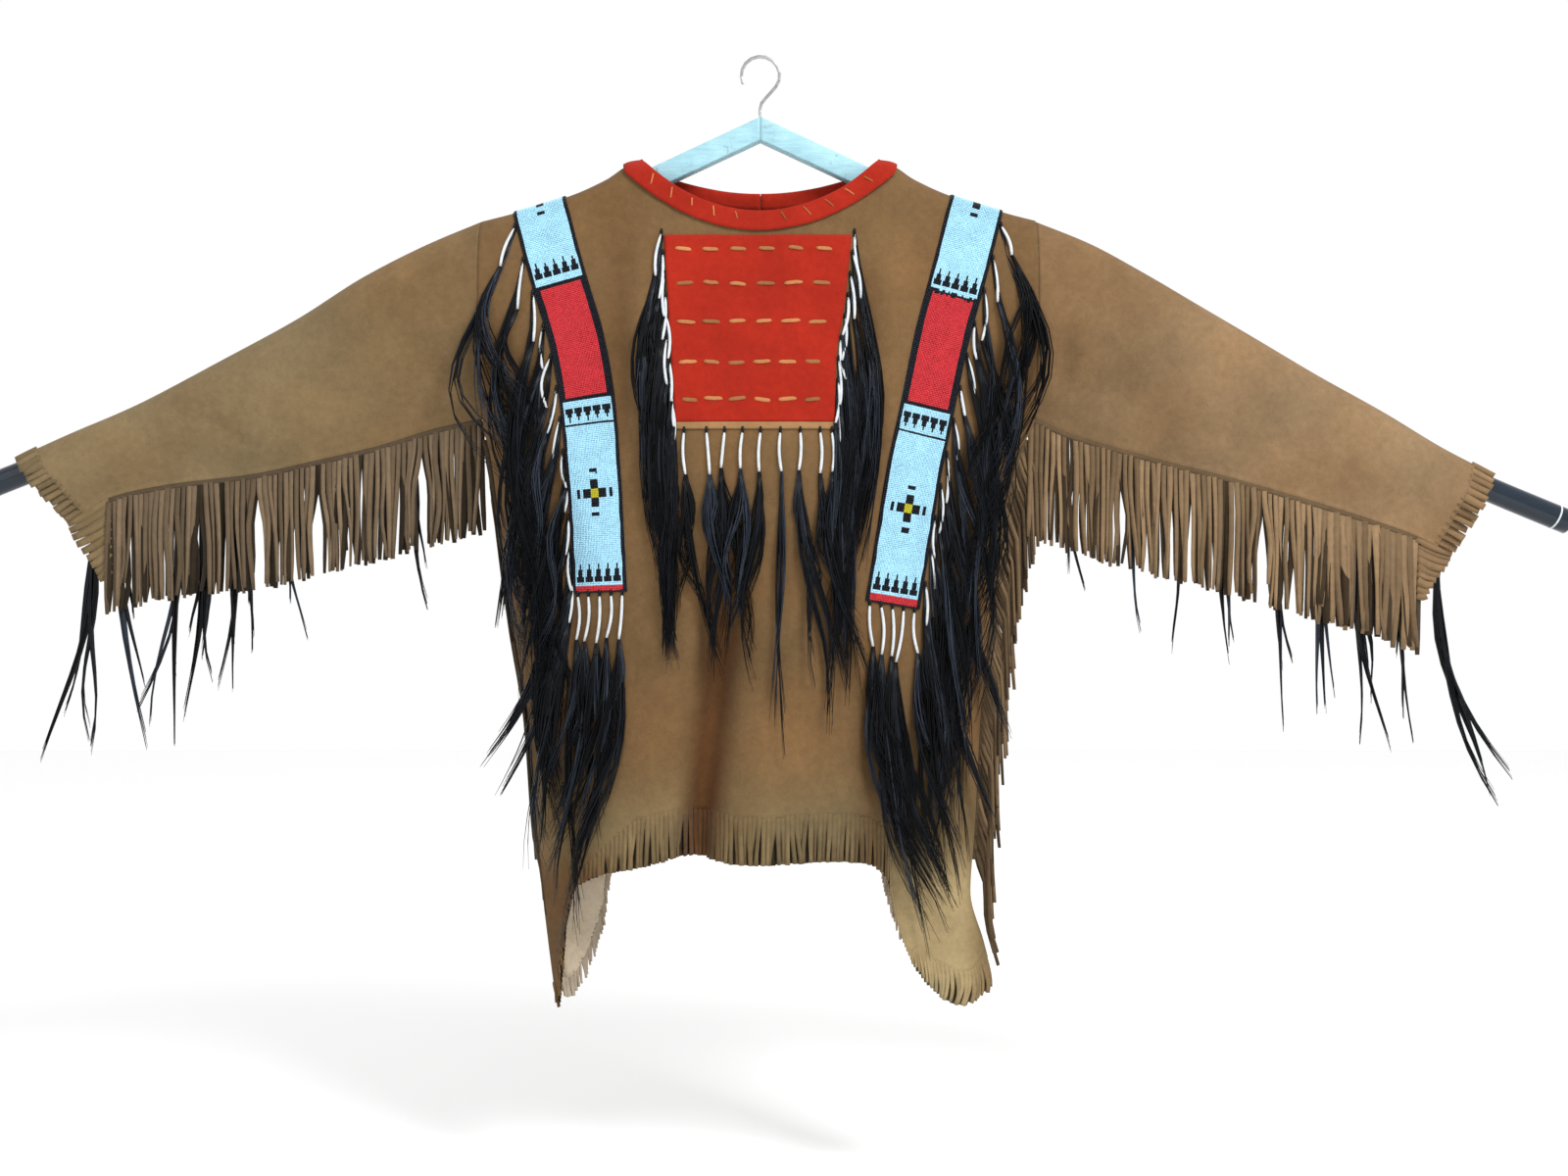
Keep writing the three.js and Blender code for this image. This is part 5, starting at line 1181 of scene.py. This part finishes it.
# ---------------------------------------------------------------- materials
class Look:
    """A material, with the nodes that it is built from."""

    def __init__(self, name, roughness, **fixed):
        self.material = bpy.data.materials.new(name)
        self.material.use_nodes = True
        self.tree = self.material.node_tree
        self.shader = self.tree.nodes["Principled BSDF"]
        for key, value in dict(Roughness=roughness, **fixed).items():
            self.shader.inputs[key.replace("_", " ")].default_value = value

    def node(self, kind, **values):
        made = self.tree.nodes.new(kind)
        for key, value in values.items():
            if key in made.inputs:
                made.inputs[key].default_value = value
            else:
                setattr(made, key, value)
        return made

    def set(self, output, socket):
        self.tree.links.new(output, self.shader.inputs[socket])

    def place(self, scale=(1, 1, 1)):
        mapping = self.node("ShaderNodeMapping")
        mapping.inputs["Scale"].default_value = scale
        self.tree.links.new(self.node("ShaderNodeTexCoord").outputs["Object"], mapping.inputs["Vector"])
        return mapping.outputs["Vector"]

    def noise(self, where, scale, detail=3.0, rough=0.55):
        made = self.node("ShaderNodeTexNoise", Scale=scale, Detail=detail, Roughness=rough)
        self.tree.links.new(where, made.inputs["Vector"])
        return made.outputs["Fac"]

    def ramp(self, value, *stops):
        """Stops are (place, colour or grey)."""
        made = self.node("ShaderNodeValToRGB")
        self.tree.links.new(value, made.inputs["Fac"])
        while len(made.color_ramp.elements) < len(stops):
            made.color_ramp.elements.new(0.5)
        for element, (at, colour) in zip(made.color_ramp.elements, stops):
            element.position = at
            element.color = (*(colour if isinstance(colour, tuple) else (colour,) * 3), 1)
        return made.outputs["Color"]

    def blend(self, kind, factor, a, b):
        made = self.node("ShaderNodeMix", data_type="RGBA", blend_type=kind)
        for index, value in ((0, factor), (6, a), (7, b)):
            if isinstance(value, (int, float)):
                made.inputs[index].default_value = value
            elif isinstance(value, tuple):
                made.inputs[index].default_value = (*value, 1)
            else:
                self.tree.links.new(value, made.inputs[index])
        return made.outputs[2]

    def tint(self):
        return self.node("ShaderNodeVertexColor", layer_name="tint").outputs["Color"]

    def bump(self, *layers):
        """Layers of (height, strength, distance), each on top of the one before."""
        last = None
        for height, strength, distance in layers:
            made = self.node("ShaderNodeBump", Strength=strength, Distance=distance)
            self.tree.links.new(height, made.inputs["Height"])
            if last is not None:
                self.tree.links.new(last, made.inputs["Normal"])
            last = made.outputs["Normal"]
        self.set(last, "Normal")


def suede(name, base=None, nap=0.5, mottle=0.14):
    look = Look(name, 0.93, Sheen_Weight=0.05, Sheen_Roughness=0.5, Specular_IOR_Level=0.08)
    here = look.place()
    colour = look.tint() if base is None else base
    wide, fine = look.noise(here, 14.0, 4.0, 0.6), look.noise(here, 130.0, 4.0, 0.65)
    grain = look.noise(here, 700.0, 2.0, 0.6)
    for lumps, low, high in ((wide, 1 - mottle, 1 + mottle), (fine, 1 - mottle * 0.8, 1 + mottle * 0.6),
                             (grain, 0.93, 1.05)):
        colour = look.blend("MULTIPLY", 1.0, colour, look.ramp(lumps, (0.3, low), (0.7, high)))
    look.set(colour, "Base Color")
    look.bump((wide, 0.35, 0.004), (fine, nap, 0.0012), (grain, 0.25, 0.0004))
    return look.material


def streaked(name, roughness, specular, scale, size, low, high):
    """The mesh's own colours, streaked or mottled by noise."""
    look = Look(name, roughness, Specular_IOR_Level=specular)
    streak = look.noise(look.place(scale), size, 2.0)
    shade = look.ramp(streak, (0.3, low), (0.7, high))
    look.set(look.blend("MULTIPLY", 1.0, look.tint(), shade), "Base Color")
    return look.material


def wrap_material():
    look = Look("wrapping", 0.7, Sheen_Weight=0.2)
    here = look.place()
    dirt = look.noise(here, 90.0)
    look.set(look.ramp(dirt, (0.3, (0.50, 0.54, 0.57)), (0.7, (0.66, 0.69, 0.71))), "Base Color")
    wave = look.node("ShaderNodeTexWave", wave_type="BANDS", bands_direction="Z", Scale=380.0, Distortion=0.6)
    look.tree.links.new(here, wave.inputs["Vector"])
    look.bump((wave.outputs["Fac"], 0.5, 0.0004))
    return look.material


def rod_material():
    look = Look("rod", 0.22, Specular_IOR_Level=0.4)
    here = look.place((0.15, 1, 1))
    soft = look.noise(here, 40.0, 4.0)
    look.set(look.ramp(soft, (0.3, (0.002, 0.007, 0.014)), (0.7, (0.005, 0.014, 0.026))), "Base Color")
    look.set(look.ramp(look.noise(here, 160.0, 5.0, 0.7), (0.35, 0.07), (0.75, 0.20)), "Roughness")
    look.bump((soft, 0.15, 0.001))
    return look.material


def paint_material():
    """Pale blue paint, dirty and worn through in spots."""
    look = Look("painted_board", 0.5, Specular_IOR_Level=0.35)
    here = look.place()
    grain = look.noise(look.place((6, 60, 60)), 6.0, 5.0, 0.65)
    dirt = look.noise(here, 30.0, 5.0, 0.65)
    base = look.ramp(dirt, (0.3, (0.26, 0.46, 0.53)), (0.55, (0.31, 0.54, 0.61)), (0.8, (0.36, 0.60, 0.66)))
    worn = look.ramp(look.noise(here, 75.0, 6.0, 0.75), (0.60, 0.0), (0.72, 1.0))
    out = look.blend("MIX", worn, base, (0.20, 0.25, 0.26))
    out = look.blend("MULTIPLY", 1.0, out, look.ramp(grain, (0.35, 0.86), (0.6, 1.0)))
    look.set(out, "Base Color")
    look.bump((grain, 0.35, 0.001), (dirt, 0.2, 0.001))
    return look.material


def wire_material():
    look = Look("hook_wire", 0.38, Metallic=1.0)
    here = look.place()
    look.set(look.ramp(look.noise(here, 120.0, 4.0), (0.3, 0.28), (0.7, (0.5, 0.51, 0.52))), "Base Color")
    look.bump((look.noise(here, 500.0), 0.2, 0.0004))
    return look.material


def floor_material():
    look = Look("floor", 0.9, Specular_IOR_Level=0.1)
    look.shader.inputs["Base Color"].default_value = (0.95, 0.95, 0.95, 1)
    return look.material


# ---------------------------------------------------------------- hanger
def board_object(name, side):
    """One painted board, its edges rounded and its faces a little uneven."""
    steps = 60
    t = np.linspace(0, 1, steps)
    x = mix(SEAM / 2, BOARD["end"], t)
    top = BOARD["apex"] - BOARD["slope"] * x
    h, d, r = BOARD["height"], BOARD["depth"] / 2, 2.2
    section = []
    for cx, cz, start in ((d - r, -r, 0), (-(d - r), -r, 90), (-(d - r), -h + r, 180), (d - r, -h + r, 270)):
        for a in np.radians(start + np.array([0, 30, 60, 90])):
            section.append((cx + r * math.cos(a), cz + r * math.sin(a)))
    section = np.array(section)
    ring = np.zeros((steps, len(section), 3))
    ring[..., 0] = side * x[:, None]
    ring[..., 1] = section[None, :, 0]
    ring[..., 2] = top[:, None] + section[None, :, 1]
    uneven = noise(ring[..., 0] + 40 * section[None, :, 0], ring[..., 2] * 3, 21, 5) * 0.25
    ring[..., 1] += uneven
    n = len(section)
    quads = np.roll(ring_quads(steps, n)[:, ::-1], 1, axis=1)
    caps = np.array([np.arange(n)[::-1], (steps - 1) * n + np.arange(n)])
    points = ring.reshape(-1, 3)
    turned = facing_out(points, quads)
    return mesh_object(name, points, [turned, caps if turned is quads else caps[:, ::-1]])


def catmull(points, steps):
    """A smooth path through the points."""
    points = np.asarray(points, float)
    padded = np.concatenate([[2 * points[0] - points[1]], points, [2 * points[-1] - points[-2]]])
    out = []
    for i in range(1, len(padded) - 2):
        p0, p1, p2, p3 = padded[i - 1:i + 3]
        for t in np.linspace(0, 1, steps, endpoint=False):
            out.append(0.5 * (2 * p1 + (p2 - p0) * t + (2 * p0 - 5 * p1 + 4 * p2 - p3) * t * t
                              + (3 * p1 - p0 - 3 * p2 + p3) * t ** 3))
    out.append(points[-1])
    return np.array(out)


def tube_object(name, path, radius, rim, sides=28):
    """A round bar with its ends' edges broken by the rim's width."""
    path = np.asarray(path, float)
    first, last = unit(path[1] - path[0]), unit(path[-1] - path[-2])
    path = np.concatenate([path[:1], path[:1] + first * rim, path[1:-1], path[-1:] - last * rim, path[-1:]])
    radii = np.full(len(path), radius)
    radii[[0, -1]] = radius - rim
    strands = Strands()
    strands.add(path, radii, radii, sides=sides, flat=(0, 1, 0))
    return strands.make(name)


def dress(obj, material, nodes=()):
    obj.data.materials.clear()
    obj.data.materials.append(material)
    if nodes:
        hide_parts(*nodes)
    return obj


# ---------------------------------------------------------------- making it all
HIDE_SUEDE = suede("buckskin")
FRINGE_SUEDE = suede("fringe_suede", nap=0.25)
RED_SUEDE = suede("red_suede", base=(0.29, 0.016, 0.007), mottle=0.12)
TAN = suede("bib_foot", base=(0.27, 0.150, 0.065), mottle=0.12)
THONG = suede("thong", nap=0.2, mottle=0.12)
BACKING = suede("strip_backing", mottle=0.1)
BEADS = streaked("beadwork", 0.28, 0.3, (1, 1, 1), 60.0, 0.92, 1.04)
HAIR = streaked("hair", 0.30, 0.16, (1, 1, 0.05), 420.0, 0.5, 1.5)
WRAP, ROD, PAINT = wrap_material(), rod_material(), paint_material()

front, front_fringe = body_panel("front_panel_hide", FRONT, 156, 140)
back, back_fringe = body_panel("back_panel_hide", BACK, 120, 105)
dress(front, HIDE_SUEDE, ["front_panel"])
dress(back, HIDE_SUEDE, ["back_panel"])
dress(front_fringe, HIDE_SUEDE)
dress(back_fringe, HIDE_SUEDE)
sleeves, cuffs, backings = {}, {}, {}
for side, word in ((LEFT, "left"), (RIGHT, "right")):
    sleeve_hide, cuff_fringe = sleeve_object(f"{word}_sleeve_hide", SLEEVES[side])
    sleeves[side] = dress(sleeve_hide, HIDE_SUEDE, [f"{word}_sleeve"])
    cuffs[side] = dress(cuff_fringe, HIDE_SUEDE)
    for made, node in ((sleeve_fringe(f"{word}_sleeve_fringe_cut", SLEEVES[side]), f"{word}_sleeve_fringe"),
                       (side_fringe(f"{word}_side_fringe_cut", side), f"{word}_side_fringe")):
        dress(made, FRINGE_SUEDE, [node])
    backings[side] = dress(strip_backing(f"{word}_strip_backing", STRIPS[side]), BACKING,
                           [f"{word}_beaded_strip"])
    dress(beads_object(f"{word}_strip_beads", STRIPS[side]), BEADS)
    bar = catmull([(x, 0, z) for x, z in RODS[side]], 8)
    dress(tube_object(f"{word}_pipe", bar, ROD_RADIUS, 1.0), ROD, [f"{word}_rod"])
    dress(board_object(f"{word}_painted_board", side), PAINT, [f"{word}_board"])

# the pale ring near the right pipe's end
inwards = unit(np.subtract(*RODS[RIGHT][-2:]))
ring_at = [np.array(RODS[RIGHT][-1]) + away * inwards for away in (17.6, 15.6)]
dress(tube_object("right_pipe_ring", [(x, 0, z) for x, z in ring_at], ROD_RADIUS + 0.5, 0.3), WRAP)

collar = dress(collar_object(), RED_SUEDE, ["collar"])
bib = dress(bib_object("bib_hide", BIB_TOP, BIB_BOTTOM, 64), RED_SUEDE, ["bib"])
dashes = dress(bib_dashes("bib_stitches"), THONG)
dress(neck_stitches("neck_lacing"), THONG)
foot = bib_object("bib_foot", BIB_BOTTOM - SEAM, BIB_BOTTOM - BIB_EDGE, 5)
bib_edge = dress(foot, TAN, ["bib_edge"])


def lock_group(group, maker, nodes):
    """All locks of one kind: their wrapped cords as one mesh and their hair as another."""
    wraps, hairs = Strands(), Strands()
    maker(wraps, hairs)
    dress(wraps.make(f"{group}_wraps"), WRAP)
    dress(hairs.make(f"{group}_hair"), HAIR, nodes)


def strips_front(wraps, hairs):
    strip_locks(LEFT, FRONT, wraps, hairs)
    strip_locks(RIGHT, FRONT, wraps, hairs)
    stray_hair(hairs)


def strips_back(wraps, hairs):
    strip_locks(LEFT, BACK, wraps, hairs)
    strip_locks(RIGHT, BACK, wraps, hairs)


def both_sleeves(wraps, hairs):
    sleeve_locks(SLEEVES[LEFT], wraps, hairs)
    sleeve_locks(SLEEVES[RIGHT], wraps, hairs)


lock_group("bib", bib_locks, ["bib_locks_left", "bib_locks_right", "bib_locks_bottom"])
lock_group("strip_front", strips_front, ["left_strip_locks_front", "right_strip_locks_front"])
lock_group("strip_back", strips_back, ["left_strip_locks_back", "right_strip_locks_back"])
lock_group("sleeve", both_sleeves, ["left_sleeve_locks", "right_sleeve_locks"])

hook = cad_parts["hook"].data.materials
hook.clear()
hook.append(wire_material())

# ---------------------------------------------------------------- stage, light and camera
FLOOR_Z = -1.30
SHIRT_MIDDLE = -0.605
LENS, SENSOR = 40.2, 36
bpy.ops.mesh.primitive_plane_add(size=8, location=(0, 1.5, FLOOR_Z))
floor = bpy.context.object
floor.name = "floor"
floor.data.materials.append(floor_material())


def area_light(name, location, target_z, size, power):
    light = bpy.data.lights.new(name, "AREA")
    light.size = size
    light.energy = power
    obj = bpy.data.objects.new(name, light)
    bpy.context.scene.collection.objects.link(obj)
    obj.location = location
    obj.rotation_euler = (Vector((0, 0, target_z)) - Vector(location)).to_track_quat("-Z", "Y").to_euler()


area_light("key", (1.5, -2.0, 1.7), target_z=-0.5, size=1.0, power=88)
area_light("fill", (-2.2, -2.0, 0.0), target_z=-0.6, size=2.0, power=9)
world = bpy.data.worlds.new("world")
world.use_nodes = True
world.node_tree.nodes["Background"].inputs["Color"].default_value = (1, 1, 1, 1)
world.node_tree.nodes["Background"].inputs["Strength"].default_value = 1.0
bpy.context.scene.world = world
bpy.context.scene.view_settings.view_transform = "Standard"

camera_data = bpy.data.cameras.new("camera")
camera_data.lens = LENS
camera_data.sensor_width = SENSOR
camera = bpy.data.objects.new("camera", camera_data)
bpy.context.scene.collection.objects.link(camera)
camera.location = (0.027, -2.0, SHIRT_MIDDLE)
camera.rotation_euler = (math.pi / 2, 0, 0)
bpy.context.scene.camera = camera
